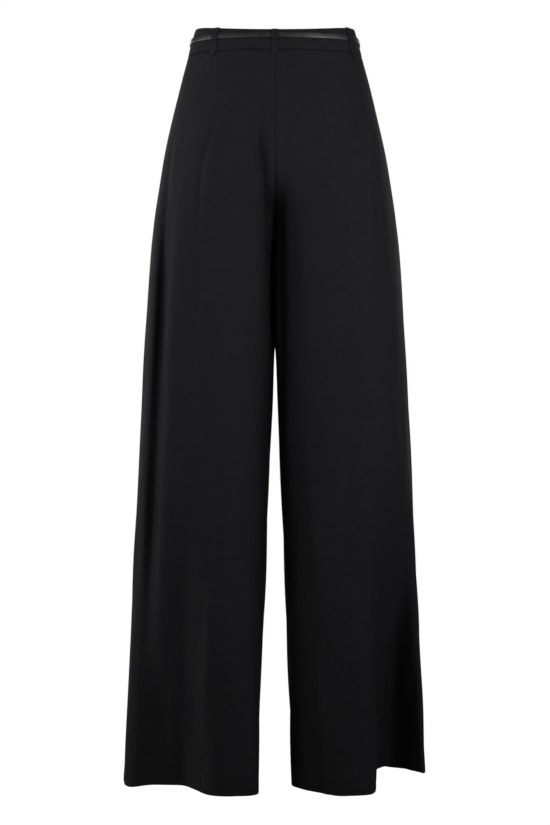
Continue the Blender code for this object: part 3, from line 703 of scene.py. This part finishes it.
def makeWaistband():
    # one strip, whose under end is tucked behind its upper end in front
    along = np.concatenate([
        np.linspace(band["underEnd"], band["upperEnd"] - 0.001, 12),
        np.linspace(band["upperEnd"], 0.028, 12),
        np.linspace(0.0305, waistRound + band["upperEnd"] - 0.0035, 262),
        waistRound + band["upperEnd"] - np.array([0.0022, 0.0012, 0.0005, 0]),
    ])  # fmt: skip
    behind = tuckedBehind(along)
    off = band["stands"] - (band["thick"] + cloth["seamGap"]) * behind
    bottom = band["seam"] + cloth["seamGap"] / 2
    share = np.array([0, 0.012, 0.03, 0.06, *np.linspace(0.11, 0.90, 11), 0.935, 0.962, 0.982, 0.994, 1])
    share = share[:, None]
    height = bottom + share * (topEdge(along) - bottom)
    toTop = topEdge(along) - height
    drop = rounded(toTop, band["edgeRound"])
    middle = np.sin(math.pi * np.clip(share, 0, 1))
    uneven = np.sin(along / band["waves"][0] + 8 * share) * np.sin(along / band["waves"][1]) * middle
    toEnd = np.minimum(along - along[0], along[-1] - along)
    dip = cloth["seamDip"] * fading(height - bottom, band["seamRoll"])
    dip = dip + band["endDip"] * fading(toEnd, band["endRoll"]) * (1 - drop)
    puff = band["puff"] * middle**0.7 + band["uneven"] * uneven
    outer = offWaist(along, height, off + puff * (1 - behind) - dip - drop * band["edgeRound"])
    inner = offWaist(along, height, off - band["thick"] + drop * band["edgeRound"])
    piece = wallMesh("band", outer, inner, grain=(along, height), worn=fading(toTop, band["rubbed"]))
    return dress(piece, "waistband")


belt = {
    "width": 0.0084,
    "thick": 0.0018,
    "skived": 0.0009,  # thinned where it turns round the buckle's bar
    "height": 0.0096,
    "sideRise": 0.0012,
    "sewnEnd": 0.0165,
    "tip": 0.066,
    "tipLong": 0.0042,
    "crown": 0.00022,  # the strap's face is slightly domed
    "edgeFrom": 0.82,  # and its edges rounded, from this share of its half width
    "stepsDown": (0.003, 0.025),
    "plainTo": -0.030,
    "clearsBar": 0.0025,
    "step": 0.0015,  # between its points near the buckle
}

buckle = {
    "wire": 0.0011,
    "tipBar": -0.0115,
    "hingeBar": 0.0070,
    "halfHeight": 0.0062,
    "corner": 0.0016,
    "prong": 0.0007,
    "prongLong": 0.0093,
    "prongPast": 0.0013,
    "prongRise": 0.0006,
    "prongRound": 0.07,  # the share of its length at each end
}

keeper = {"from": 0.0200, "to": 0.0252, "thick": 0.0008, "edge": 0.0005, "corner": 0.0003}

# How far the belt's middle and the buckle's bars lie off the band
gap = cloth["seamGap"]
plainOff = gap + belt["thick"] / 2
sewnOff = gap + belt["skived"] / 2
hingeOff = 2 * gap + belt["skived"] + buckle["wire"]
tipOff = 2 * gap + belt["thick"] + buckle["wire"]
overSewnOff = 2 * gap + belt["skived"] + belt["thick"] / 2
beltTurn = buckle["wire"] + gap + belt["skived"] / 2
overHingeOff = hingeOff + beltTurn + (belt["skived"] + belt["thick"]) / 2 + gap
lapOff = belt["thick"] + gap


def beltMiddle(along):
    return belt["height"] + belt["sideRise"] * np.sin(angleAt(along)) ** 2


def beltPath():
    # the strap's middle line as rows of (along, off the band, thickness)
    hinge, sewn = buckle["hingeBar"], belt["sewnEnd"]
    path = [(along, sewnOff, belt["skived"]) for along in np.linspace(sewn, hinge, 5)[:-1]]
    for turn in np.radians(np.linspace(-90, -270, 13)):
        path.append((hinge + beltTurn * math.cos(turn), hingeOff + beltTurn * math.sin(turn), belt["skived"]))
    down = np.array([hinge, sewn, *(keeper["to"] + np.array(belt["stepsDown"]))])
    over = np.array([hingeOff + beltTurn, overSewnOff, overSewnOff, plainOff])
    for along in np.arange(hinge + belt["step"], down[-1], belt["step"]):
        thick = belt["skived"] + ease((along - hinge) / (sewn - hinge)) * (belt["thick"] - belt["skived"])
        path.append((along, smoothThrough(along, down, over), thick))
    overBar = (hinge - belt["clearsBar"], hinge + belt["clearsBar"])
    free = np.array([buckle["tipBar"] + belt["clearsBar"], *overBar, *down[1:]])
    lapped = np.array([plainOff, overHingeOff, overHingeOff, *(over[1:] + lapOff)])
    for along in np.linspace(down[-1], waistRound + belt["plainTo"], 250):
        path.append((along, plainOff, belt["thick"]))
    for along in np.linspace(belt["plainTo"] + belt["step"], belt["tip"], 66):
        path.append((waistRound + along, smoothThrough(along, free, lapped), belt["thick"]))
    return np.array([[float(value) for value in row] for row in path])


def beltFaces():
    along, off, thick = beltPath().T
    run, rise = np.gradient(along), np.gradient(off)
    length = np.hypot(run, rise)
    across = np.array([-1, -0.975, -0.92, -0.82, -0.55, 0, 0.55, 0.82, 0.92, 0.975, 1])[:, None]
    fromTip = np.clip((along[-1] - along) / belt["tipLong"], 0, 1)
    wide = belt["width"] / 2 * np.maximum(np.sqrt(fromTip * (2 - fromTip)), 0.12)
    edge = np.clip((np.abs(across) - belt["edgeFrom"]) / (1 - belt["edgeFrom"]), 0, 1)
    faces = []
    for half in (thick / 2, -thick / 2):
        lift = half * np.sqrt(1 - 0.8 * edge**2) + belt["crown"] * (1 - across**2) * (half > 0)
        place = along - lift * rise / length
        height = beltMiddle(place) + across * wide
        faces.append(offWaist(place, height, off + lift * run / length + band["stands"]))
    return faces, np.cumsum(length), across * wide


def makeBelt():
    (outer, inner), long, wide = beltFaces()
    piece = wallMesh("belt", outer, inner, grain=(long, wide), worn=(np.abs(wide) / belt["width"] * 2) ** 8)
    return dress(piece, "belt_strap", "belt_leather")


loop = {
    "width": 0.0092,
    "thick": 0.0012,
    "slack": 0.0001,
    "belowSeam": 0.0068,
    "edge": 0.0006,
    "stitchIn": 0.0013,
    "stitchDip": 0.00016,
    "stitchWide": 0.0005,
    "edgePuff": 0.00018,
    "edgeWide": 0.0026,
    "middlePuff": 0.00012,
    "middleWide": 0.4,  # of its half width
    "innerRound": 0.4,  # of its outer edges' rounding
    "threadSunk": 0.00004,
    "endDip": 0.0003,
    "rubbed": 0.0008,
}
loopRun = (  # from, above, share of the way out over the belt
    ("waist seam", -loop["belowSeam"], 0.0),
    ("waist seam", -0.0010, 0.0),
    ("belt's lower edge", -0.0028, 0.0),
    ("belt's lower edge", -0.0006, 1.0),
    ("belt's middle", 0.0, 1.0),
    ("belt's upper edge", 0.0006, 1.0),
    ("belt's upper edge", 0.0024, 0.18),
    ("top edge", 0.0, 0.0),
)
loopPlaces = {
    "back_left": (0.0858, "back"),
    "back_centre": (0.0003, "back"),
    "back_right": (-0.1087, "back"),
    "front_left": (0.0780, "front"),
    "front_right": (-0.0780, "front"),
}


def makeLoop(name):
    across, face = loopPlaces[name]
    middle = placeOf(across, face)
    mid = float(beltMiddle(middle))
    starts = {
        "waist seam": band["seam"],
        "belt's lower edge": mid - belt["width"] / 2,
        "belt's middle": mid,
        "belt's middle": mid,
        "belt's upper edge": mid + belt["width"] / 2,
        "top edge": float(topEdge(middle)),
    }
    low, high = band["stands"] + gap, band["stands"] + belt["thick"] + 2 * gap + loop["slack"]
    knots = np.array([starts[start] + above for start, above, _ in loopRun])
    offs = np.array([low + share * (high - low) for _, _, share in loopRun])
    height = np.linspace(knots[0], knots[-1], 44)[:, None]
    off = smoothThrough(height, knots, offs)
    share = np.array([-1, -0.97, -0.9, -0.8, -0.68, -0.4, 0, 0.4, 0.68, 0.8, 0.9, 0.97, 1])
    along = middle + share / 2 * loop["width"]
    fromEdge = (1 - np.abs(share)) * loop["width"] / 2
    drop = loop["edge"] * rounded(fromEdge, loop["edge"])
    sewn = loop["stitchDip"] * fading(fromEdge - loop["stitchIn"], loop["stitchWide"])
    puff = loop["edgePuff"] * np.exp(-((fromEdge / loop["edgeWide"]) ** 4))
    puff = puff + loop["middlePuff"] * fading(share, loop["middleWide"])
    ends = fading(height - knots[0], loop["edge"]) + fading(height - knots[-1], loop["edge"])
    outer = offWaist(along, height, off + loop["thick"] - drop - sewn + puff - loop["endDip"] * ends)
    inner = offWaist(along, height, off + drop * loop["innerRound"])
    worn = fading(fromEdge, loop["rubbed"])
    piece = wallMesh(f"loop_{name}", outer, inner, grain=(along, height), worn=worn)
    dress(piece, f"belt_loop_{name}")
    sewnTo = loop["width"] / 2 - loop["stitchIn"]
    face = off[2:-2, 0] + loop["thick"] - loop["threadSunk"]
    rows = [offWaist(middle + way * sewnTo, height[2:-2, 0], face) for way in (-1, 1)]
    return piece, stitchRows(f"loop_stitches_{name}", rows)


stitch = {
    "long": 0.0019,
    "apart": 0.0007,
    "thread": 0.00013,
    "sides": 6,
    "bow": (-0.9, 0.2, 0.7, 0.7, 0.2, -0.9),  # how its middle line rises, in thread radii
}


def tubeFaces(rings, sides, closed=False):
    # the faces of a tube round rings of points, with its ends capped unless it is closed on itself
    faces = []
    for k in range(rings if closed else rings - 1):
        here, there = k * sides, (k + 1) % rings * sides
        for j in range(sides):
            n = (j + 1) % sides
            faces.append((here + j, here + n, there + n, there + j))
    if not closed:
        faces.append(tuple(reversed(range(sides))))
        faces.append(tuple(range((rings - 1) * sides, rings * sides)))
    return faces


def stitchRows(name, rows):
    # short threads lying along each row of points, their ends dipping into the cloth
    points, faces = [], []
    sides, bow = stitch["sides"], stitch["bow"]
    turn = np.linspace(0, 2 * math.pi, sides, endpoint=False)[:, None]
    for row in rows:
        row = np.array(row)
        walked = lengthAlong(row)
        for start in np.arange(0, walked[-1] - stitch["long"], stitch["long"] + stitch["apart"]):
            places = start + np.linspace(0, 1, len(bow)) * stitch["long"]
            line = np.stack([np.interp(places, walked, row[:, k]) for k in range(3)], axis=1)
            tangent = unit(line[-1] - line[0])
            out = line.mean(axis=0) * [1, 1, 0]
            out = unit(out - tangent * (out @ tangent))
            side = np.cross(tangent, out)
            first = len(points) * sides
            faces += [tuple(first + j for j in reversed(face)) for face in tubeFaces(len(bow), sides)]
            for centre, lift in zip(line, bow):
                centre = centre + out * lift * stitch["thread"]
                points.append(centre + stitch["thread"] * (np.cos(turn) * side + np.sin(turn) * out))
    return dress(meshPiece(name, np.concatenate(points), faces), material=blackThread)


fly = {
    "edges": (0.0055, -0.0310),
    "long": 0.172,
    "thick": 0.0012,
    "rounding": 0.030,
    "edge": 0.0006,
    "edgeDrop": 0.0005,
    "rubbed": 0.0010,
    "stitchIn": 0.0045,
    "threadOut": 0.00006,
}


def frontFace(across, height):
    # points of the front panels' outer face, from how far across and how high they lie
    points = np.stack([across, np.zeros(across.shape), height], axis=2)
    front = allRound >= math.pi / 2
    levels = np.linspace(height.max() + 0.002, height.min() - 0.002, 90)
    for side, way in (("left", 1), ("right", -1)):
        rings = creasedRings(side, levels)[:, front][:, ::-1]
        there = points[..., 0] * way >= 0
        outs = np.abs(points[there][:, 0])
        lines = np.array([np.interp(outs, ring[:, 0], ring[:, 1]) for ring in rings]).T
        points[there, 1] = [np.interp(-z, -levels, line) for z, line in zip(points[there][:, 2], lines)]
    return points


def makeFly():
    # the strip that covers the front opening, sewn along one side, with its lower corner cut round
    wide = fly["edges"][0] - fly["edges"][1]
    share = np.array([0, 0.012, 0.03, 0.06, *np.linspace(0.1, 0.9, 16), 0.94, 0.97, 0.99, 1])
    down = np.concatenate([[0, 0.003, 0.008], np.linspace(0.016, 0.984, 62), [0.99, 0.994, 0.997, 0.999, 1]])
    down = down[:, None]
    across = np.tile(fly["edges"][0] - share * wide, (len(down), 1))
    long = fly["long"] - fly["rounding"] * (1 - np.sqrt(1 - share**2))
    height = band["seam"] - 2 * gap - down * long
    face = frontFace(across, height)
    normal = unit(np.cross(np.gradient(face, axis=1), np.gradient(face, axis=0)))
    edge = np.minimum(np.minimum(share, 1 - share) * wide, (1 - down) * long)
    under = face + normal * gap
    outer = under + normal * (fly["thick"] - fly["edgeDrop"] * rounded(edge, fly["edge"]))[..., None]
    piece = wallMesh("fly_strip", outer, under, grain=(across, height), worn=fading(edge, fly["rubbed"]))
    dress(piece, "fly_placket")
    inset = np.searchsorted(share, 1 - fly["stitchIn"] / wide)
    sewn = outer + normal * fly["threadOut"]
    row = np.concatenate([sewn[2:-6, inset], sewn[-6, 3:inset][::-1]])
    return piece, stitchRows("fly_stitches", [row])


def barMesh(name, middle, across, radius, sides, closed):
    # a round bar along points given as (along, height, off the band), laid on to the waist
    count = len(middle)
    turn = np.linspace(0, 2 * math.pi, sides, endpoint=False)[:, None]
    radius = np.broadcast_to(radius, (count,))
    rings = []
    for k in range(count):
        after, before = ((k + 1) % count, k - 1) if closed else (min(k + 1, count - 1), max(k - 1, 0))
        tangent = middle[after] - middle[before]
        first = unit(np.cross(tangent, across))
        second = unit(np.cross(tangent, first))
        rings.append(middle[k] + radius[k] * (np.cos(turn) * first + np.sin(turn) * second))
    along, height, off = np.concatenate(rings).T
    return meshPiece(name, offWaist(along, height, off + band["stands"]), tubeFaces(count, sides, closed))


def roundCorners(reachX, reachY, steps):
    # round a rectangle: where its corners' centres lie, and the directions round each
    for x, y, start in ((-1, 1, 90), (-1, -1, 180), (1, -1, 270), (1, 1, 0)):
        for turn in np.radians(start + np.linspace(0, 90, steps)):
            yield x * reachX, y * reachY, math.cos(turn), math.sin(turn)


def makeBuckle():
    tip, hinge, corner = buckle["tipBar"], buckle["hingeBar"], buckle["corner"]
    reaches = ((hinge - tip) / 2 - corner, buckle["halfHeight"] - corner)
    line = []
    for x, y, cosine, sine in roundCorners(*reaches, 11):
        place = (tip + hinge) / 2 + x + corner * cosine
        off = tipOff + (place - tip) / (hinge - tip) * (hingeOff - tipOff)
        line.append((place, belt["height"] + y + corner * sine, off))
    bar = barMesh("buckle_bar", np.array(line), np.array([0.0, 0.0, 1.0]), buckle["wire"], 24, closed=True)
    dress(bar, "buckle_frame", "buckle_metal")

    overTip = tipOff + buckle["wire"] + gap + buckle["prong"]
    end = tip - buckle["prongPast"]
    start = end + buckle["prongLong"]
    share = np.linspace(0, 1, 26)
    places = start + (end - start) * share
    lift = overTip + buckle["prongRise"] * np.clip(1 - 2 * share, 0, 1)
    thick = buckle["prong"]
    for toEnd in (1 - share, share):
        past = np.clip((buckle["prongRound"] - toEnd) / 0.072, 0, 1)
        thick = thick * np.sqrt(np.clip(1 - past**2, 0.05, 1))
    line = np.stack([places, np.full(26, belt["height"]), lift], axis=1)
    prong = barMesh("prong", line, np.array([0.0, 1.0, 0.0]), thick, 20, closed=False)
    return dress(prong, "buckle_prong", "buckle_metal")


def makeKeeper():
    # the small leather ring round the belt and its free end
    near = overSewnOff - belt["thick"] / 2 - gap
    far = overSewnOff + lapOff + belt["thick"] / 2 + gap
    middle, corner = (near + far) / 2, keeper["corner"]
    deep, tall = (far - near) / 2 - corner, belt["width"] / 2 + gap - corner
    along = np.linspace(keeper["from"], keeper["to"], 13)
    fromEdge = np.minimum(along - keeper["from"], keeper["to"] - along)
    thick = keeper["thick"] * (1 - rounded(fromEdge, keeper["edge"]) / 2)
    outer, inner = [], []
    for x, y, cosine, sine in roundCorners(deep, tall, 6):
        for ring, radius in ((outer, corner + thick), (inner, corner)):
            height, off = belt["height"] + y + radius * sine, middle + x + radius * cosine
            ring.append(offWaist(along, height, band["stands"] + off))
    rows, columns = len(outer), len(along)
    size = rows * columns
    faces = []
    for i in range(rows):
        here, there = i * columns, (i + 1) % rows * columns
        for j in range(columns - 1):
            a, b = here + j, there + j
            faces.append((a, a + 1, b + 1, b))
            faces.append((size + a, size + b, size + b + 1, size + a + 1))
        faces.append((here, there, size + there, size + here))
        a, b = here + columns - 1, there + columns - 1
        faces.append((a, size + a, size + b, b))
    ring = meshPiece("keeper_ring", np.concatenate(outer + inner), faces)
    return dress(ring, "belt_keeper", "belt_leather")


def plugIn(tree, node, inputs):
    for name, value in inputs.items():
        if isinstance(value, bpy.types.NodeSocket):
            tree.links.new(value, node.inputs[name])
        else:
            node.inputs[name].default_value = value


def addNode(tree, kind, inputs=None, **settings):
    made = tree.nodes.new("ShaderNode" + kind)
    for name, value in settings.items():
        setattr(made, name, value)
    plugIn(tree, made, inputs or {})
    return made


def newFinish(name):
    material = bpy.data.materials.new(name)
    material.use_nodes = True
    return material, material.node_tree, material.node_tree.nodes["Principled BSDF"]


def mixColours(tree, share, one, two):
    one, two = (value if isinstance(value, bpy.types.NodeSocket) else (*value, 1) for value in (one, two))
    return addNode(tree, "Mix", {0: share, 6: one, 7: two}, data_type="RGBA").outputs[2]


def scaled(tree, value, low, high, fromLow=0.0, fromHigh=1.0):
    return addNode(tree, "MapRange", {0: value, 1: fromLow, 2: fromHigh, 3: low, 4: high}).outputs[0]


def mathOf(tree, how, *values, clamp=False):
    return addNode(tree, "Math", dict(enumerate(values)), operation=how, use_clamp=clamp).outputs[0]


def vectorMath(tree, how, *values):
    return addNode(tree, "VectorMath", dict(enumerate(values)), operation=how).outputs[0]


def noise(tree, place, scale, detail=2.0, output="Fac", roughness=0.5):
    settings = {"Vector": place, "Scale": scale, "Detail": detail, "Roughness": roughness}
    return addNode(tree, "TexNoise", settings).outputs[output]


def bumped(tree, strength, distance, height):
    return addNode(tree, "Bump", {"Strength": strength, "Distance": distance, "Height": height}).outputs[0]


def clothCoordinates(tree):
    grain = addNode(tree, "Attribute", attribute_name="grain").outputs["Vector"]
    return grain, addNode(tree, "Attribute", attribute_name="worn").outputs["Fac"]


crepe = {
    "dark": (0.0083, 0.0082, 0.0104),
    "light": (0.0172, 0.0169, 0.0200),
    "rubbed": (0.022, 0.022, 0.0245),
    "pitch": 0.00052,
    "pebble": 0.00085,
    "wobble": 0.00016,
    "slubStretch": 0.12,
    "relief": 0.00012,
}


def makeCrepe():
    material, tree, shader = newFinish("black crepe")
    grain, worn = clothCoordinates(tree)
    bands = 0.314 / crepe["pitch"]
    wobble = noise(tree, grain, 900.0, 1.0, "Color")
    shifted = vectorMath(tree, "MULTIPLY_ADD", wobble, (crepe["wobble"],) * 3, grain)
    warp = addNode(tree, "TexWave", {"Vector": shifted, "Scale": bands}, bands_direction="X")
    weft = addNode(tree, "TexWave", {"Vector": shifted, "Scale": bands * 0.92}, bands_direction="Y")
    weave = mathOf(tree, "MULTIPLY", warp.outputs["Fac"], weft.outputs["Fac"])
    pebble = noise(tree, grain, 1 / crepe["pebble"], 2.0, roughness=0.55)
    slub = noise(tree, vectorMath(tree, "MULTIPLY", grain, (1.0, crepe["slubStretch"], 1.0)), 520.0)
    cloud = noise(tree, grain, 26.0, 3.0)
    height = mathOf(tree, "MULTIPLY_ADD", pebble, 0.9, weave)
    height = mathOf(tree, "MULTIPLY_ADD", slub, 0.5, height)
    shade = mathOf(tree, "MULTIPLY_ADD", cloud, 0.35, scaled(tree, height, -0.05, 0.75, 0.3, 1.9), clamp=True)
    colour = mixColours(tree, shade, crepe["dark"], crepe["light"])
    rub = mathOf(tree, "MULTIPLY", worn, scaled(tree, pebble, 0.0, 0.7, 0.4, 0.65), clamp=True)
    plugIn(tree, shader, {
        "Base Color": mixColours(tree, rub, colour, crepe["rubbed"]),
        "Roughness": scaled(tree, slub, 0.74, 0.90, 0.3, 0.7),
        "Normal": bumped(tree, 0.45, crepe["relief"], height),
        "Specular IOR Level": 0.35,
    })  # fmt: skip
    return material


thread = {
    "dark": (0.0096, 0.0096, 0.0108),
    "light": (0.024, 0.024, 0.027),
    "twist": 0.00035,
    "relief": 0.00005,
}


def makeThread():
    material, tree, shader = newFinish("black thread")
    place = addNode(tree, "TexCoord").outputs["Object"]
    twist = noise(tree, place, 1 / thread["twist"], 1.0)
    plugIn(tree, shader, {
        "Base Color": mixColours(tree, twist, thread["dark"], thread["light"]),
        "Roughness": scaled(tree, twist, 0.40, 0.60),
        "Normal": bumped(tree, 0.5, thread["relief"], twist),
        "Sheen Weight": 0.2,
    })  # fmt: skip
    return material


leather = {
    "dark": (0.013, 0.012, 0.012),
    "light": (0.034, 0.031, 0.030),
    "edge": (0.006, 0.006, 0.006),
    "grain": 0.00055,
    "relief": 0.00010,
}


def makeLeather():
    material, tree, shader = newFinish("black belt leather")
    grain, worn = clothCoordinates(tree)
    hide = addNode(tree, "TexVoronoi", {"Vector": grain, "Scale": 1 / leather["grain"]}, feature="SMOOTH_F1")
    pores = noise(tree, grain, 2600.0, 3.0)
    cloud = noise(tree, grain, 70.0, 4.0)
    height = mathOf(tree, "MULTIPLY_ADD", pores, 0.3, hide.outputs["Distance"])
    colour = mixColours(tree, scaled(tree, cloud, 0.0, 1.0, 0.35, 0.65), leather["dark"], leather["light"])
    plugIn(tree, shader, {
        "Base Color": mixColours(tree, worn, colour, leather["edge"]),
        "Roughness": scaled(tree, cloud, 0.30, 0.42, 0.35, 0.65),
        "Normal": bumped(tree, 0.16, leather["relief"], height),
        "Coat Weight": 0.35,
        "Coat Roughness": 0.42,
    })  # fmt: skip
    return material


metal = {"dark": (0.045, 0.045, 0.048), "light": (0.085, 0.084, 0.086), "relief": 0.00004}


def makeMetal():
    material, tree, shader = newFinish("dark polished metal")
    place = addNode(tree, "TexCoord").outputs["Object"]
    streak = addNode(tree, "Mapping", {"Vector": place, "Scale": (300.0, 300.0, 4000.0)}).outputs[0]
    rubbed = noise(tree, place, 420.0, 3.0)
    plugIn(tree, shader, {
        "Base Color": mixColours(tree, rubbed, metal["dark"], metal["light"]),
        "Roughness": scaled(tree, rubbed, 0.16, 0.34, 0.3, 0.7),
        "Normal": bumped(tree, 0.08, metal["relief"], noise(tree, streak, 1.0, 4.0)),
        "Metallic": 1.0,
    })  # fmt: skip
    return material


camera = {"away": 2.8, "height": -0.5225, "photoHigh": 825, "metresToPixel": 1.45e-3, "sensor": 36.0}
floor = {"height": -1.30, "colour": (0.05, 0.05, 0.05), "wide": 60.0, "roughness": 0.9}
lights = {  # where each softbox stands, what it points at, its size, its spread in degrees and its watts
    "highRight": ((-1.29, 2.23, 0.26), (0.0, 0.0, -0.10), 1.0, 50, 1.4),
    "highRightSide": ((-2.23, 1.29, 0.26), (0.0, 0.0, -0.10), 1.0, 50, 0.95),
    "highLeft": ((1.29, 2.23, 0.26), (0.0, 0.0, -0.10), 1.0, 50, 0.3),
    "highLeftSide": ((2.23, 1.29, 0.26), (0.0, 0.0, -0.10), 1.0, 35, 0.66),
    "highFarLeft": ((2.58, 0.00, 0.26), (0.0, 0.0, -0.10), 1.0, 50, 1.1),
    "rightFront": ((-1.30, 2.25, -0.50), (0.0, 0.0, -0.50), 1.2, 180, 4.6),
    "rightSide": ((-2.51, 0.67, -0.50), (0.0, 0.0, -0.50), 1.2, 180, 2.6),
    "leftFront": ((1.30, 2.25, -0.50), (0.0, 0.0, -0.50), 1.2, 180, 1.8),
    "leftSide": ((2.60, 0.00, -0.50), (0.0, 0.0, -0.50), 1.2, 180, 9.4),
    "flyLeft": ((1.30, -2.25, 0.10), (0.0, 0.0, -0.50), 1.2, 180, 8.0),
    "flyRight": ((-1.30, -2.25, 0.10), (0.0, 0.0, -0.50), 1.2, 180, 8.0),
}
ambient = 0.06


def makeCamera():
    data = bpy.data.cameras.new("camera")
    view = bpy.data.objects.new("camera", data)
    bpy.context.scene.collection.objects.link(view)
    high = camera["metresToPixel"] * camera["photoHigh"]
    data.sensor_fit = "VERTICAL"
    data.sensor_height = data.sensor_width = camera["sensor"]
    data.lens = camera["sensor"] * camera["away"] / high
    view.location = (0, camera["away"], camera["height"])
    view.rotation_euler = (math.pi / 2, 0, math.pi)
    bpy.context.scene.camera = view


def whiteToCamera(tree, otherwise):
    # full white where the camera sees it, and this much light on everything else
    seen = addNode(tree, "LightPath").outputs["Is Camera Ray"]
    return scaled(tree, seen, otherwise, 1.0)


def makeStudio():
    for name, (place, aim, size, spread, strength) in lights.items():
        data = bpy.data.lights.new(name, "AREA")
        data.size, data.spread, data.energy = size, math.radians(spread), strength
        lamp = bpy.data.objects.new(name, data)
        lamp.location = place
        lamp.rotation_euler = (Vector(aim) - Vector(place)).to_track_quat("-Z", "Y").to_euler()
        lamp.visible_camera = False
        bpy.context.scene.collection.objects.link(lamp)
    world = bpy.data.worlds.new("studio")
    bpy.context.scene.world = world
    world.use_nodes = True
    tree = world.node_tree
    plugIn(tree, tree.nodes["Background"], {"Color": (1, 1, 1, 1), "Strength": whiteToCamera(tree, ambient)})
    bpy.context.scene.view_settings.view_transform = "Standard"

    mesh = bpy.data.meshes.new("floor")
    wide, low = floor["wide"], floor["height"]
    corners = [(-wide, -wide, low), (wide, -wide, low), (wide, wide, low), (-wide, wide, low)]
    mesh.from_pydata(corners, [], [(0, 1, 2, 3)])
    material, tree, shader = newFinish("pale floor")
    plugIn(tree, shader, {
        "Base Color": (*floor["colour"], 1),
        "Roughness": floor["roughness"],
        "Emission Color": (1, 1, 1, 1),
        "Emission Strength": whiteToCamera(tree, 0.0),
    })  # fmt: skip
    mesh.materials.append(material)
    addPiece("floor", mesh)


finishes = {"black_crepe": makeCrepe(), "belt_leather": makeLeather(), "buckle_metal": makeMetal()}
blackThread = makeThread()
print("finishes made")
makeCamera()
makeStudio()
print("camera and studio made")
heights = rowHeights()
panels = makeLegs(heights)
makeAllowances(heights, panels)
print("panels and seams made")
loops = [piece for name in loopPlaces for piece in makeLoop(name)]
makeWaistband()
makeWaistAllowance()
makeBelt()
strip, stitches = makeFly()
makeBuckle()
makeKeeper()
print("waistband, belt, loops and fly made")
